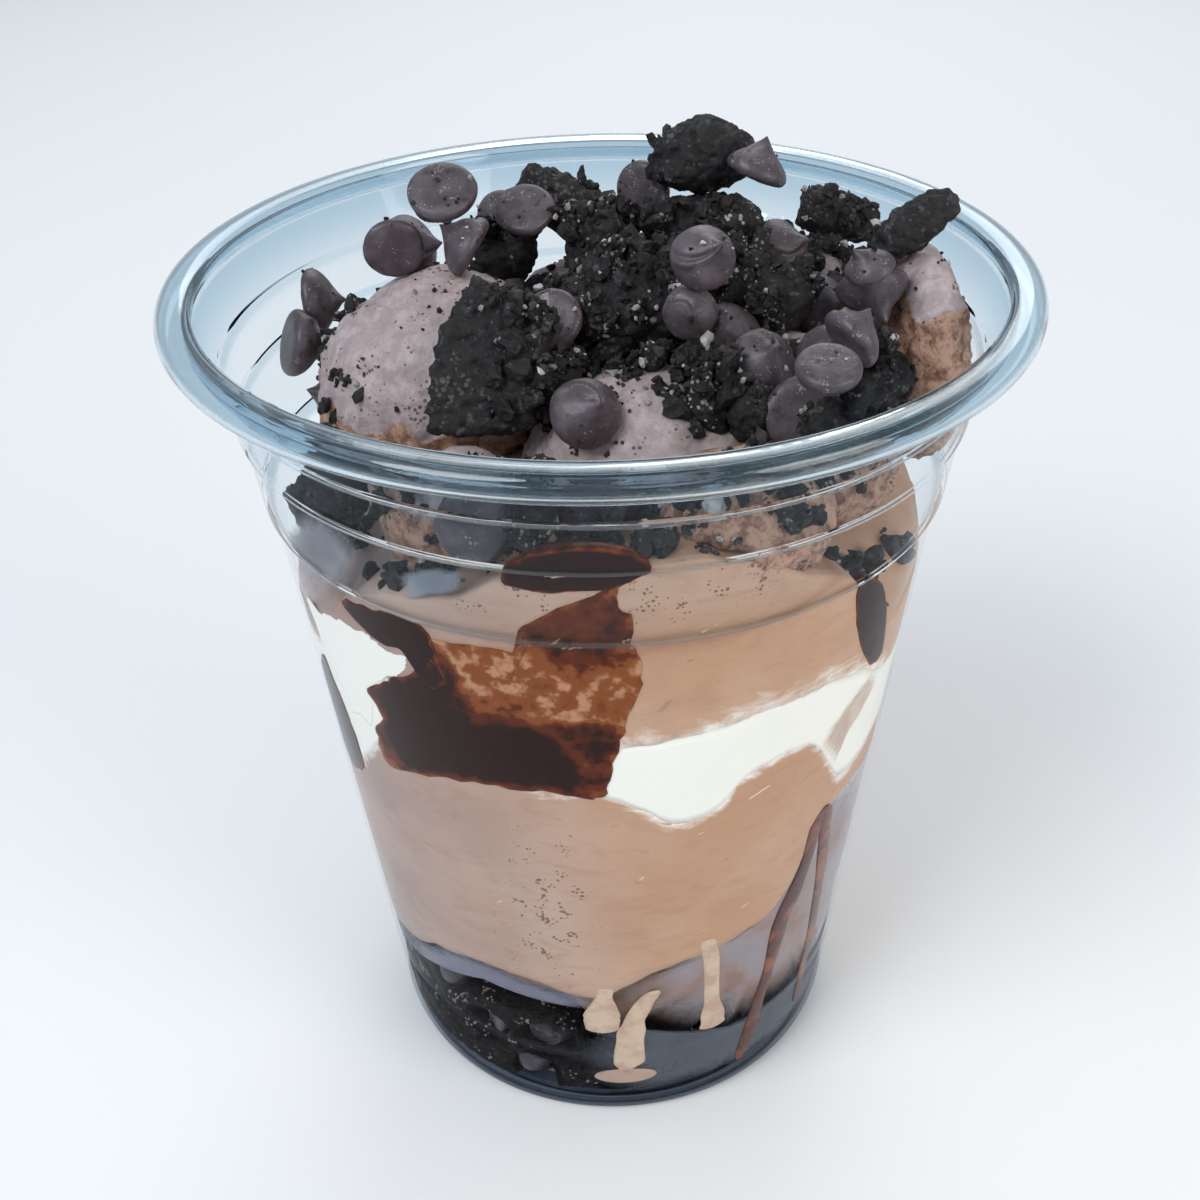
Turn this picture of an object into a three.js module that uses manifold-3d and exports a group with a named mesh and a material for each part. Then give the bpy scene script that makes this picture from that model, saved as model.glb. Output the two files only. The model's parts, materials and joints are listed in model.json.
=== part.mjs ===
// Ice cream sundae in its clear cup: layers of chocolate ice cream, cream and fudge, scoops on top,
// and a heap of broken chocolate cookies and chocolate drops.
// Millimetres, +Z up. The origin is the centre of the cup's foot, and -Y is the sundae's front.
import * as THREE from 'three';
import { mergeGeometries, mergeVertices } from 'three/addons/utils/BufferGeometryUtils.js';
import Module from 'manifold-3d';

const wasm = await Module();
wasm.setup();

// ---------------------------------------------------------------- driving dimensions
const CUP_HEIGHT = 108;
const RIM_RADIUS = 49;
const RIM_WIDTH = 2.8;
const RIM_DEPTH = 2.5;
const WALL = 0.5;
const CUP_SECTORS = 36; // flats round the cup and round the layers in it
const BASE_RADIUS = 30.4; // the tapered wall's radius, carried down to z = 0
const WALL_TAPER = 0.1108; // radius gained for each millimetre of height
const FOOT_RADIUS = 28.9; // the flat ring that the cup stands on
const FOOT_INNER_RADIUS = 27.6;
const FLOOR_HEIGHT = 3.2; // underside of the raised floor
const GROOVE_HEIGHT = 12.8; // the stacking groove round the foot
const GROOVE_DEPTH = 0.35;
// The wide upper part: [height, radius] at each corner of its three shallow steps.
const SHOULDER = [[84.5, 40.5], [93, 41.6], [94, 42.3], [98.9, 42.8], [99.9, 43.5], [105, 45.7]];
const SHOULDER_HEIGHT = 83.3;

const CLEARANCE = 0.3; // between pieces that touch
const WALL_GAP = 0.45; // between the contents and the flat-sided cup
const SHOULDER_GAP = 1; // the same where the wall is stepped
const LAYER_RINGS = [0, 0.45, 0.8, 1];
const DOME_HEIGHT = 91; // top of the upper ice cream at the cup's middle
const CREAM_LOW = 60; // the cream layer at the cup's middle
const CREAM_HIGH = 65;
const HEAP_HEIGHT = 11; // the crumbled bottom layer at the cup's middle

const DROP_DIAMETER = 7.8; // a chocolate drop
const COOKIE_THICKNESS = 4.2;
const COOKIE_RADIUS = 22;
const RIB_PITCH = 2.1; // ribs round a cookie's edge
const RIB_DEPTH = 0.55;

const colours = {
  cup: new THREE.MeshStandardMaterial({ color: 0xb9d3e4, roughness: 0.08, metalness: 0, opacity: 0.35,
    transparent: true }),
  iceCream: new THREE.MeshStandardMaterial({ color: 0xb9917d, roughness: 0.6, metalness: 0 }),
  scoop: new THREE.MeshStandardMaterial({ color: 0xb79a93, roughness: 0.7, metalness: 0 }),
  cream: new THREE.MeshStandardMaterial({ color: 0xecefee, roughness: 0.5, metalness: 0 }),
  fudge: new THREE.MeshStandardMaterial({ color: 0x2e1712, roughness: 0.25, metalness: 0 }),
  drop: new THREE.MeshStandardMaterial({ color: 0x463b3e, roughness: 0.55, metalness: 0 }),
  cookie: new THREE.MeshStandardMaterial({ color: 0x232021, roughness: 0.9, metalness: 0 }),
};

// ---------------------------------------------------------------- helpers
const degrees = THREE.MathUtils.degToRad;
const mix = THREE.MathUtils.lerp;
const smooth = THREE.MathUtils.smoothstep;

// Numbers from 0 to 1 that come out the same each time.
function seededRandom(seed) {
  let state = seed * 7919 + 17;
  return () => {
    state = (state * 16807) % 2147483647;
    return state / 2147483647;
  };
}

// A height, or any other value, that runs smoothly round the cup through [azimuth, value] pairs.
// Azimuths are in degrees, rising, from +X towards +Y.
function around(pairs) {
  const count = pairs.length;
  const at = (i) => {
    const turns = Math.floor(i / count);
    const [azimuth, value] = pairs[i - turns * count];
    return [azimuth + 360 * turns, value];
  };
  const slope = (i) => (at(i + 1)[1] - at(i - 1)[1]) / (at(i + 1)[0] - at(i - 1)[0]);
  return (degreesRound) => {
    const first = pairs[0][0];
    const wanted = first + THREE.MathUtils.euclideanModulo(degreesRound - first, 360);
    let i = 0;
    while (at(i + 1)[0] <= wanted) i += 1;
    const [a0, v0] = at(i);
    const [a1, v1] = at(i + 1);
    const span = a1 - a0;
    const t = (wanted - a0) / span;
    const rise = (t - 1) * t * ((t - 1) * slope(i) + t * slope(i + 1)) * span;
    return mix(v0, v1, t * t * (3 - 2 * t)) + rise;
  };
}

// Value of a polyline of [height, radius] points, rising, at one height.
function radiusAt(points, z) {
  let i = 1;
  while (i < points.length - 1 && points[i][0] < z) i += 1;
  const [z0, r0] = points[i - 1];
  const [z1, r1] = points[i];
  return mix(r0, r1, THREE.MathUtils.clamp((z - z0) / (z1 - z0), 0, 1));
}

// One closed surface with shared corners, no empty triangles and its faces pointing out.
function closedMesh(geometry) {
  const bare = geometry.clone();
  bare.deleteAttribute('normal');
  bare.deleteAttribute('uv');
  const merged = mergeVertices(bare, 1e-4);
  const { array } = merged.attributes.position;
  const faces = [];
  let volume = 0;
  const corner = (i) => new THREE.Vector3().fromArray(array, i * 3);
  for (let i = 0; i < merged.index.count; i += 3) {
    const [a, b, c] = [0, 1, 2].map((k) => merged.index.getX(i + k));
    if (a === b || b === c || c === a) continue;
    faces.push(a, b, c);
    volume += corner(a).dot(corner(b).cross(corner(c)));
  }
  if (volume < 0) faces.reverse();
  merged.setIndex(faces);
  return merged;
}

function toSolid(geometry) {
  const mesh = closedMesh(geometry);
  return new wasm.Manifold(new wasm.Mesh({
    numProp: 3,
    vertProperties: new Float32Array(mesh.attributes.position.array),
    triVerts: new Uint32Array(mesh.index.array),
  }));
}

// The largest piece of a solid, so that no loose scrap of a cut is kept.
function toGeometry(solid) {
  const pieces = solid.decompose().sort((a, b) => b.volume() - a.volume());
  const { vertProperties, triVerts } = pieces[0].getMesh();
  const geometry = new THREE.BufferGeometry();
  geometry.setAttribute('position', new THREE.BufferAttribute(new Float32Array(vertProperties), 3));
  geometry.setIndex(Array.from(triVerts));
  return geometry;
}

function moveVertices(geometry, move) {
  const { position } = geometry.attributes;
  const point = new THREE.Vector3();
  for (let i = 0; i < position.count; i += 1) {
    point.fromBufferAttribute(position, i);
    move(point);
    position.setXYZ(i, point.x, point.y, point.z);
  }
  return geometry;
}

function azimuthOf(point) {
  return THREE.MathUtils.radToDeg(Math.atan2(point.y, point.x));
}

// Gentle lumps: a sum of waves over a direction, from -1 to 1.
function lumps(direction, seed, pitch) {
  const random = seededRandom(seed);
  let sum = 0;
  const WAVES = 5;
  for (let i = 0; i < WAVES; i += 1) {
    const wave = new THREE.Vector3(random() - 0.5, random() - 0.5, random() - 0.5);
    wave.normalize().multiplyScalar(pitch * (0.7 + random()));
    sum += Math.sin(wave.dot(direction) + random() * Math.PI * 2);
  }
  return sum / WAVES;
}

const scene = new THREE.Group();

function addPart(name, geometry, material) {
  const mesh = new THREE.Mesh(geometry, material.clone());
  mesh.name = name;
  scene.add(mesh);
  return mesh;
}

// ---------------------------------------------------------------- the cup
function taperRadius(z) {
  return BASE_RADIUS + WALL_TAPER * z;
}

const INNER_CORNER = 2.2; // height of the rounded corner between floor and wall
const innerWall = [
  [INNER_CORNER, taperRadius(INNER_CORNER) - WALL],
  [SHOULDER_HEIGHT, taperRadius(SHOULDER_HEIGHT) - WALL],
  ...SHOULDER.map(([z, radius]) => [z, radius - WALL]),
];

function innerRadius(z) {
  return radiusAt(innerWall, z);
}

function cupGeometry() {
  const half = GROOVE_DEPTH * 1.7;
  const [wallTopHeight, wallTopRadius] = SHOULDER[SHOULDER.length - 1];
  const underside = [
    [0, FLOOR_HEIGHT],
    [FOOT_INNER_RADIUS - 2, FLOOR_HEIGHT],
    [FOOT_INNER_RADIUS - 1, FLOOR_HEIGHT - 0.7],
    [FOOT_INNER_RADIUS, 0],
    [FOOT_RADIUS, 0],
  ];
  const outside = [
    [taperRadius(2), 2],
    [taperRadius(GROOVE_HEIGHT - half), GROOVE_HEIGHT - half],
    [taperRadius(GROOVE_HEIGHT) - GROOVE_DEPTH, GROOVE_HEIGHT],
    [taperRadius(GROOVE_HEIGHT + half), GROOVE_HEIGHT + half],
    [taperRadius(SHOULDER_HEIGHT), SHOULDER_HEIGHT],
    ...SHOULDER.map(([z, radius]) => [radius, z]),
  ];
  const rim = [
    [RIM_RADIUS - RIM_WIDTH, CUP_HEIGHT - RIM_DEPTH + 0.3],
    [RIM_RADIUS - 0.8, CUP_HEIGHT - RIM_DEPTH],
    [RIM_RADIUS, CUP_HEIGHT - RIM_DEPTH + 0.7],
    [RIM_RADIUS, CUP_HEIGHT - 0.7],
    [RIM_RADIUS - 0.6, CUP_HEIGHT],
    [RIM_RADIUS - RIM_WIDTH + 0.3, CUP_HEIGHT],
    [wallTopRadius - WALL + 0.2, CUP_HEIGHT - 1.2],
  ];
  const inside = innerWall.map(([z, radius]) => [radius, z]).reverse();
  inside[0] = [wallTopRadius - WALL, wallTopHeight];
  const floor = [
    [FOOT_RADIUS, WALL],
    [FOOT_INNER_RADIUS + 0.3, WALL],
    [FOOT_INNER_RADIUS - 0.7, FLOOR_HEIGHT - 0.3],
    [FOOT_INNER_RADIUS - 1.8, FLOOR_HEIGHT + WALL],
    [0, FLOOR_HEIGHT + WALL],
  ];
  const profile = [...underside, ...outside, ...rim, ...inside, ...floor];
  const points = profile.map(([radius, z]) => new THREE.Vector2(radius, z));
  return closedMesh(new THREE.LatheGeometry(points, CUP_SECTORS).rotateX(Math.PI / 2));
}

const FLOOR_TOP = FLOOR_HEIGHT + WALL + CLEARANCE;

// All the room inside the cup's wall, which keeps the contents clear of it.
function cupRoom() {
  const ABOVE_ALL = 130;
  const side = innerWall.map(([z, radius]) => new THREE.Vector2(radius - WALL_GAP, Math.max(z, FLOOR_TOP)));
  const top = new THREE.Vector2(side[side.length - 1].x, ABOVE_ALL);
  const profile = [new THREE.Vector2(0, FLOOR_TOP), ...side, top, new THREE.Vector2(0, ABOVE_ALL)];
  return toSolid(new THREE.LatheGeometry(profile, CUP_SECTORS).rotateX(Math.PI / 2));
}

// ---------------------------------------------------------------- layers in the cup
// A disc of unit radius and height, made of rings, which the layers and the fudge are shaped from.
// Its two faces are divided alike, so that layers shaped by one function lie on one another.
function puck(sectors, rings) {
  const profile = [...rings.map((radius) => new THREE.Vector2(radius, 0)), new THREE.Vector2(1, 0.5)];
  const lower = new THREE.LatheGeometry(profile, sectors).rotateX(Math.PI / 2);
  const upper = lower.clone().scale(1, 1, -1).translate(0, 0, 1);
  upper.index.array.reverse();
  return mergeGeometries([lower, upper]);
}

// A layer between two heights, each a function of azimuth and of the distance from the middle.
// reachAt gives its outer edge, 1 being the wall.
function layerSolid(bottomAt, topAt, reachAt = () => 1) {
  const geometry = moveVertices(puck(CUP_SECTORS, LAYER_RINGS), (point) => {
    const fromMiddle = Math.min(Math.hypot(point.x, point.y), 1);
    const azimuth = azimuthOf(point);
    const z = mix(bottomAt(azimuth, fromMiddle), topAt(azimuth, fromMiddle), point.z);
    const gap = mix(WALL_GAP, SHOULDER_GAP, smooth(z, SHOULDER_HEIGHT - 4, SHOULDER_HEIGHT + 3));
    const radius = fromMiddle * reachAt(azimuth) * (innerRadius(z) - gap);
    const angle = degrees(azimuth);
    point.set(Math.cos(angle) * radius, Math.sin(angle) * radius, z);
  });
  return toSolid(geometry);
}

// Heights at the wall, [azimuth, height]: 270 is the front, 180 the left, 0 the right.
const heapEdge = around([[20, 9], [70, 14], [130, 17], [180, 16], [217, 18], [245, 19.5], [258, 18.5],
  [264, 12], [270, 6.5], [300, 6], [330, 7]]);
const heapReach = around([[20, 0.86], [90, 0.93], [180, 0.97], [258, 0.97], [268, 0.86], [290, 0.74],
  [340, 0.76]]);
const lowerEdge = around([[0, 45], [40, 32], [90, 24], [140, 20], [180, 18.5], [213, 21.5], [227, 25.5],
  [244, 27.3], [258, 25.8], [266, 25], [276, 28.6], [283, 30.6], [290, 31], [299, 33], [306, 34.8],
  [310.5, 38.5], [314, 44], [318, 47.6], [330, 48]]);
const creamBottom = around([[0, 57], [50, 54], [100, 57], [150, 52], [180, 47], [208, 49.9], [218, 56],
  [225.5, 61.4], [240, 63.5], [258, 62.5], [268, 61.7], [275, 59.4], [281, 56.3], [289, 57.4], [293.5, 60.8],
  [298.5, 62.2], [305, 62.4], [311, 60.4], [315.5, 55.4], [319, 52.4], [326, 52.3], [336, 53.8]]);
const creamTop = around([[0, 62], [50, 60], [100, 63], [150, 62], [180, 65], [206, 68.9], [221, 72.6],
  [231, 71.5], [245, 67], [258, 66], [271, 68.3], [281.5, 69.5], [295, 70.6], [316, 69.8], [329, 65.5]]);
const upperEdge = around([[0, 76], [40, 84], [90, 87], [130, 83], [165, 76], [185, 72], [201, 72.6],
  [218, 77.8], [225.5, 81.9], [235, 86.2], [246, 87.7], [256, 92], [264, 93.6], [282, 94.4],
  [291, 92.3], [298, 89.7], [310, 84.9], [319, 77.5], [325, 72.7]]);

const heapTop = (azimuth, u) => mix(HEAP_HEIGHT, heapEdge(azimuth), smooth(u, 0.2, 0.9));
const lowerBottom = (azimuth, u) => mix(heapTop(azimuth, u) + CLEARANCE, lowerEdge(azimuth),
  smooth(u, heapReach(azimuth) - 0.12, 1));
const creamLow = (azimuth, u) => mix(CREAM_LOW, creamBottom(azimuth), u ** 3);
const creamHigh = (azimuth, u) => mix(CREAM_HIGH, creamTop(azimuth), u ** 3);
const upperTop = (azimuth, u) => mix(DOME_HEIGHT, upperEdge(azimuth), u ** 2.4);

const lowerSolid = (gap) => layerSolid((a, u) => lowerBottom(a, u) - gap,
  (a, u) => creamLow(a, u) - CLEARANCE);
const creamSolid = () => layerSolid(creamLow, creamHigh);
const upperSolid = (gap) => layerSolid((a, u) => creamHigh(a, u) + CLEARANCE, (a, u) => upperTop(a, u) + gap,
  () => 1 + gap / RIM_RADIUS);

// ---------------------------------------------------------------- fudge against the wall
// A pad of fudge that lies on the inside of the wall. Its outline is a smooth loop through
// [azimuth, height] points, it is thickest in the middle, and grow widens it on every side.
function fudgePad({ outline, depth, sectors = 12 }, grow = 0) {
  const RINGS = [0, 0.65, 1];
  const EDGE_DEPTH = 1.2;
  const loop = new THREE.CatmullRomCurve3(outline.map(([a, z]) => new THREE.Vector3(a, z, 0)), true);
  const middle = outline.reduce((sum, [a, z]) => sum.add(new THREE.Vector3(a, z, 0)), new THREE.Vector3());
  middle.divideScalar(outline.length);
  const geometry = moveVertices(puck(sectors, RINGS), (point) => {
    const share = Math.min(Math.hypot(point.x, point.y), 1);
    const turn = THREE.MathUtils.euclideanModulo(azimuthOf(point) / 360, 1);
    const edge = loop.getPoint(turn);
    const size = edge.distanceTo(middle);
    const place = middle.clone().lerp(edge, share * (1 + grow / Math.max(size, 1)));
    const thickness = mix(depth, EDGE_DEPTH, share ** 2.5) + 2 * grow;
    const radius = innerRadius(place.y) - WALL_GAP + grow - thickness * point.z;
    const angle = degrees(place.x);
    point.set(Math.cos(angle) * radius, Math.sin(angle) * radius, place.y);
  });
  return toSolid(geometry);
}

const FUDGE_PADS = [
  { name: 'fudge_pocket', depth: 7, sectors: 16, outline: [[225.5, 69.5], [225, 59.5], [238.5, 60.8],
    [251, 62], [261.4, 62.2], [268.5, 62.5], [270, 67.1], [272, 75.8], [273.5, 84], [271, 89.5], [266, 88],
    [258, 83], [249, 81.3], [240, 76]] },
  { name: 'fudge_pool', depth: 5, outline: [[257, 92.3], [262, 90.8], [269, 91.4], [275, 92.6], [273, 95.6],
    [268, 96.8], [262, 95.8]] },
  { name: 'fudge_blob', depth: 6, outline: [[312.6, 82.5], [314.1, 77.9], [317.9, 72.3], [322.9, 68.3],
    [326.5, 68.5], [325, 74.1], [321, 79.7], [316, 83]] },
  { name: 'fudge_strip', depth: 3, outline: [[207, 67], [210, 64.3], [213, 59.4], [214, 53], [208, 49.5],
    [200, 49], [196, 54], [200, 62]] },
];

// ---------------------------------------------------------------- scoops
// One rough ball of ice cream.
function ballSolid({ centre, radii, turn = 0, bump = 0.05, facets = 16 }, seed, grow) {
  const PITCH = 4;
  const geometry = new THREE.SphereGeometry(1, facets, Math.round(facets * 0.7)).rotateX(Math.PI / 2);
  moveVertices(geometry, (point) => {
    const size = 1 + bump * lumps(point, seed, PITCH);
    point.multiplyScalar(size);
  });
  geometry.scale(radii[0] + grow, radii[1] + grow, radii[2] + grow);
  geometry.rotateZ(degrees(turn));
  geometry.translate(...centre);
  return toSolid(geometry);
}

// A scoop, or several that have run together. grow makes it larger on every side.
function scoopSolid({ balls, seed }, grow = 0) {
  const solids = balls.map((ball, i) => ballSolid(ball, seed + i, grow));
  return solids.reduce((whole, solid) => whole.add(solid));
}

const SCOOPS = [
  { name: 'scoop_left', seed: 3, balls: [
    { centre: [-18, -1, 93.5], radii: [14.6, 13.8, 13.3], facets: 18 }] },
  { name: 'scoop_mound', seed: 11, balls: [
    { centre: [20, 14, 92.5], radii: [14, 13, 13], facets: 14 },
    { centre: [1, 14, 90], radii: [15, 13, 13], facets: 14 },
    { centre: [5, -14, 89], radii: [14, 12, 11.5], bump: 0.07, facets: 14 },
    { centre: [22, -8, 90], radii: [12, 11.5, 11.5], bump: 0.07, facets: 14 },
  ] },
  { name: 'scoop_slab', seed: 7, balls: [
    { centre: [36.3, 0, 96.5], radii: [4.6, 11.5, 12.5], turn: 8, facets: 14 }] },
  { name: 'scoop_front_right', seed: 9, balls: [
    { centre: [14, -30, 91.5], radii: [9.5, 7.5, 8], turn: 24, bump: 0.09, facets: 14 }] },
  { name: 'scoop_front_left', seed: 11, balls: [
    { centre: [-15, -26, 90], radii: [8.5, 6.5, 7.5], turn: -28, bump: 0.1, facets: 14 }] },
];

// ---------------------------------------------------------------- drops and broken cookies
// A chocolate drop: a low cone with a full round foot, its tip up, its middle at the origin.
function dropGeometry(size = 1) {
  const SECTORS = 7;
  const MIDDLE = 0.3;
  const profile = [[0, 0], [0.42, 0.02], [0.5, 0.14], [0.42, 0.34], [0.2, 0.52], [0, 0.72]];
  const points = profile.map(([radius, z]) => new THREE.Vector2(radius, z - MIDDLE));
  const geometry = new THREE.LatheGeometry(points, SECTORS).rotateX(Math.PI / 2);
  const diameter = DROP_DIAMETER * size;
  return closedMesh(geometry.scale(diameter, diameter, diameter));
}

// A piece of a round cookie: a stretch of its ribbed edge, towards +Y, closed by a jagged break.
function waferGeometry({ width, length, thick = 1, ribbed = true, bevelled = true, seed }) {
  const random = seededRandom(seed);
  const shape = new THREE.Shape();
  const half = Math.asin(Math.min(width / 2 / COOKIE_RADIUS, 1));
  const steps = ribbed ? 2 * Math.round(width / RIB_PITCH) : 2;
  for (let i = 0; i <= steps; i += 1) {
    const angle = mix(-half, half, i / steps);
    const radius = COOKIE_RADIUS - (ribbed ? (i % 2) * RIB_DEPTH : 0);
    const x = radius * Math.sin(angle);
    const y = radius * Math.cos(angle) - COOKIE_RADIUS + length / 2;
    if (i === 0) shape.moveTo(x, y);
    else shape.lineTo(x, y);
  }
  const BREAKS = 7;
  const SQUARENESS = 0.55;
  for (let i = 1; i < BREAKS; i += 1) {
    const turn = (Math.PI * (i + 0.5 * (random() - 0.5))) / BREAKS;
    const reach = 0.85 + 0.25 * random();
    const across = Math.sign(Math.cos(turn)) * Math.abs(Math.cos(turn)) ** SQUARENESS;
    shape.lineTo((width / 2) * across * reach, length * (0.42 - Math.sin(turn) ** SQUARENESS * reach));
  }
  const bevel = bevelled ? 0.5 : 0;
  const thickness = COOKIE_THICKNESS * thick;
  const geometry = new THREE.ExtrudeGeometry(shape, { depth: thickness - 2 * bevel, bevelEnabled: bevelled,
    bevelThickness: bevel, bevelSize: bevel, bevelOffset: -bevel, bevelSegments: 1, steps: 1 });
  return closedMesh(geometry.translate(0, 0, bevel - thickness / 2));
}

// A crumbly lump, broken on all sides.
function lumpGeometry({ width, length, height, seed }) {
  const PITCH = 5;
  const geometry = new THREE.IcosahedronGeometry(1, 1);
  moveVertices(geometry, (point) => {
    point.multiplyScalar(1 + 0.2 * lumps(point, seed, PITCH));
  });
  return closedMesh(geometry.scale(width / 2, length / 2, height / 2));
}

// Turns a piece about its own upright axis, then leans that axis towards a heading.
function poseRotation({ spin = 0, tilt = 0, heading = 0 }) {
  const lean = new THREE.Quaternion().setFromAxisAngle(
    new THREE.Vector3(-Math.sin(degrees(heading)), Math.cos(degrees(heading)), 0), degrees(tilt));
  const turn = new THREE.Quaternion().setFromAxisAngle(new THREE.Vector3(0, 0, 1), degrees(spin));
  return lean.multiply(turn);
}

// ---------------------------------------------------------------- the heap at the cup's bottom
const HEAP_PIECES = [
  { kind: 'drop', azimuth: 223, inset: 4.2, z: 17.5, tilt: 60, heading: 223 },
  { kind: 'drop', azimuth: 253, inset: 4.4, z: 13.5, tilt: 100, heading: 73 },
  { kind: 'drop', azimuth: 240, inset: 4.4, z: 9, tilt: 70, heading: 300 },
  { kind: 'wafer', azimuth: 210, inset: 5.5, z: 11, width: 13, length: 10, tilt: 70, heading: 205, seed: 21 },
  { kind: 'wafer', azimuth: 238, inset: 6.5, z: 16, width: 12, length: 9, tilt: 40, heading: 250, seed: 22 },
  { kind: 'wafer', azimuth: 262, inset: 5.5, z: 9.5, width: 11, length: 9, tilt: 75, heading: 262, seed: 23 },
  { kind: 'wafer', azimuth: 165, inset: 5.5, z: 12, width: 13, length: 9, tilt: 65, heading: 170,
    ribbed: false, seed: 24 },
  { kind: 'wafer', azimuth: 110, inset: 5.5, z: 12, width: 12, length: 9, tilt: 70, heading: 110,
    ribbed: false, seed: 25 },
  { kind: 'drop', azimuth: 145, inset: 4.4, z: 14, tilt: 90, heading: 320 },
  { kind: 'drop', azimuth: 85, inset: 4.4, z: 12, tilt: 80, heading: 85 },
  { kind: 'wafer', azimuth: 317, inset: 7.5, z: 7, width: 12, length: 8, tilt: 20, heading: 300, seed: 26 },
  { kind: 'drop', azimuth: 286, inset: 8.5, z: 8, tilt: 40, heading: 286 },
  { kind: 'drop', azimuth: 30, inset: 5, z: 9.5, tilt: 70, heading: 30 },
];

function heapSolid() {
  let heap = layerSolid(() => FLOOR_TOP, heapTop, heapReach);
  for (const piece of HEAP_PIECES) {
    const geometry = piece.kind === 'drop' ? dropGeometry() : waferGeometry({ ...piece, bevelled: false });
    const radius = innerRadius(piece.z) - piece.inset;
    geometry.applyQuaternion(poseRotation(piece));
    geometry.translate(radius * Math.cos(degrees(piece.azimuth)), radius * Math.sin(degrees(piece.azimuth)),
      piece.z);
    heap = heap.add(toSolid(geometry));
  }
  return heap.intersect(cupRoom()).subtract(lowerSolid(CLEARANCE));
}

// ---------------------------------------------------------------- the heap on top
// Each piece is lowered at its place until it rests on what lies there already.
const CELL = 0.5;
const HALF_SPAN = 52;
const CELLS = Math.round((2 * HALF_SPAN) / CELL) + 1;
const surface = new Float32Array(CELLS * CELLS).fill(-1);

// Calls visit(column, row, z) for each grid point over or under each triangle.
function sampleTriangles(geometry, visit) {
  const { position } = geometry.attributes;
  const { index } = geometry;
  const [a, b, c] = [new THREE.Vector3(), new THREE.Vector3(), new THREE.Vector3()];
  const toCell = (value) => (value + HALF_SPAN) / CELL;
  for (let i = 0; i < index.count; i += 3) {
    a.fromBufferAttribute(position, index.getX(i));
    b.fromBufferAttribute(position, index.getX(i + 1));
    c.fromBufferAttribute(position, index.getX(i + 2));
    const area = (b.x - a.x) * (c.y - a.y) - (c.x - a.x) * (b.y - a.y);
    if (Math.abs(area) < 1e-9) continue;
    const columnEnd = Math.floor(toCell(Math.max(a.x, b.x, c.x)));
    const rowEnd = Math.floor(toCell(Math.max(a.y, b.y, c.y)));
    for (let column = Math.ceil(toCell(Math.min(a.x, b.x, c.x))); column <= columnEnd; column += 1) {
      const x = column * CELL - HALF_SPAN;
      for (let row = Math.ceil(toCell(Math.min(a.y, b.y, c.y))); row <= rowEnd; row += 1) {
        const y = row * CELL - HALF_SPAN;
        const shareB = ((x - a.x) * (c.y - a.y) - (c.x - a.x) * (y - a.y)) / area;
        const shareC = ((b.x - a.x) * (y - a.y) - (x - a.x) * (b.y - a.y)) / area;
        if (shareB < 0 || shareC < 0 || shareB + shareC > 1) continue;
        visit(column, row, a.z + shareB * (b.z - a.z) + shareC * (c.z - a.z));
      }
    }
  }
}

function raiseSurface(geometry) {
  sampleTriangles(geometry, (column, row, z) => {
    const cell = column * CELLS + row;
    surface[cell] = Math.max(surface[cell], z);
  });
}

// The height that a piece has to be moved by, so that it just clears the surface below it.
function liftToRest(geometry) {
  let lift = -Infinity;
  sampleTriangles(geometry, (column, row, z) => {
    for (let i = -1; i <= 1; i += 1) {
      for (let j = -1; j <= 1; j += 1) {
        lift = Math.max(lift, surface[(column + i) * CELLS + row + j] + CLEARANCE - z);
      }
    }
  });
  return lift;
}

// A copy of a piece that is larger by the clearance on every side.
function grown(geometry) {
  geometry.computeBoundingBox();
  const size = geometry.boundingBox.getSize(new THREE.Vector3());
  const widen = (length) => (length + 2 * CLEARANCE) / length;
  return geometry.clone().scale(widen(size.x), widen(size.y), widen(size.z));
}

let occupied; // the room that the contents take up so far, with their clearance

function addTopping(geometry, material, pose) {
  const large = grown(geometry).applyQuaternion(poseRotation(pose));
  geometry.applyQuaternion(poseRotation(pose));
  const placed = geometry.clone().translate(pose.x, pose.y, 0);
  const lift = liftToRest(placed);
  raiseSurface(placed.translate(0, 0, lift));
  occupied = occupied.add(toSolid(large.translate(pose.x, pose.y, lift)));
  addPart(pose.name, geometry, material).position.set(pose.x, pose.y, lift);
}

function addFiller(filler) {
  const geometry = lumpGeometry(filler).translate(filler.x, filler.y, filler.z);
  const solid = toSolid(geometry).intersect(cupRoom()).subtract(occupied);
  addPart(filler.name, toGeometry(solid), colours.cookie);
  occupied = occupied.add(toSolid(grown(lumpGeometry(filler)).translate(filler.x, filler.y, filler.z)));
}

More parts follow.
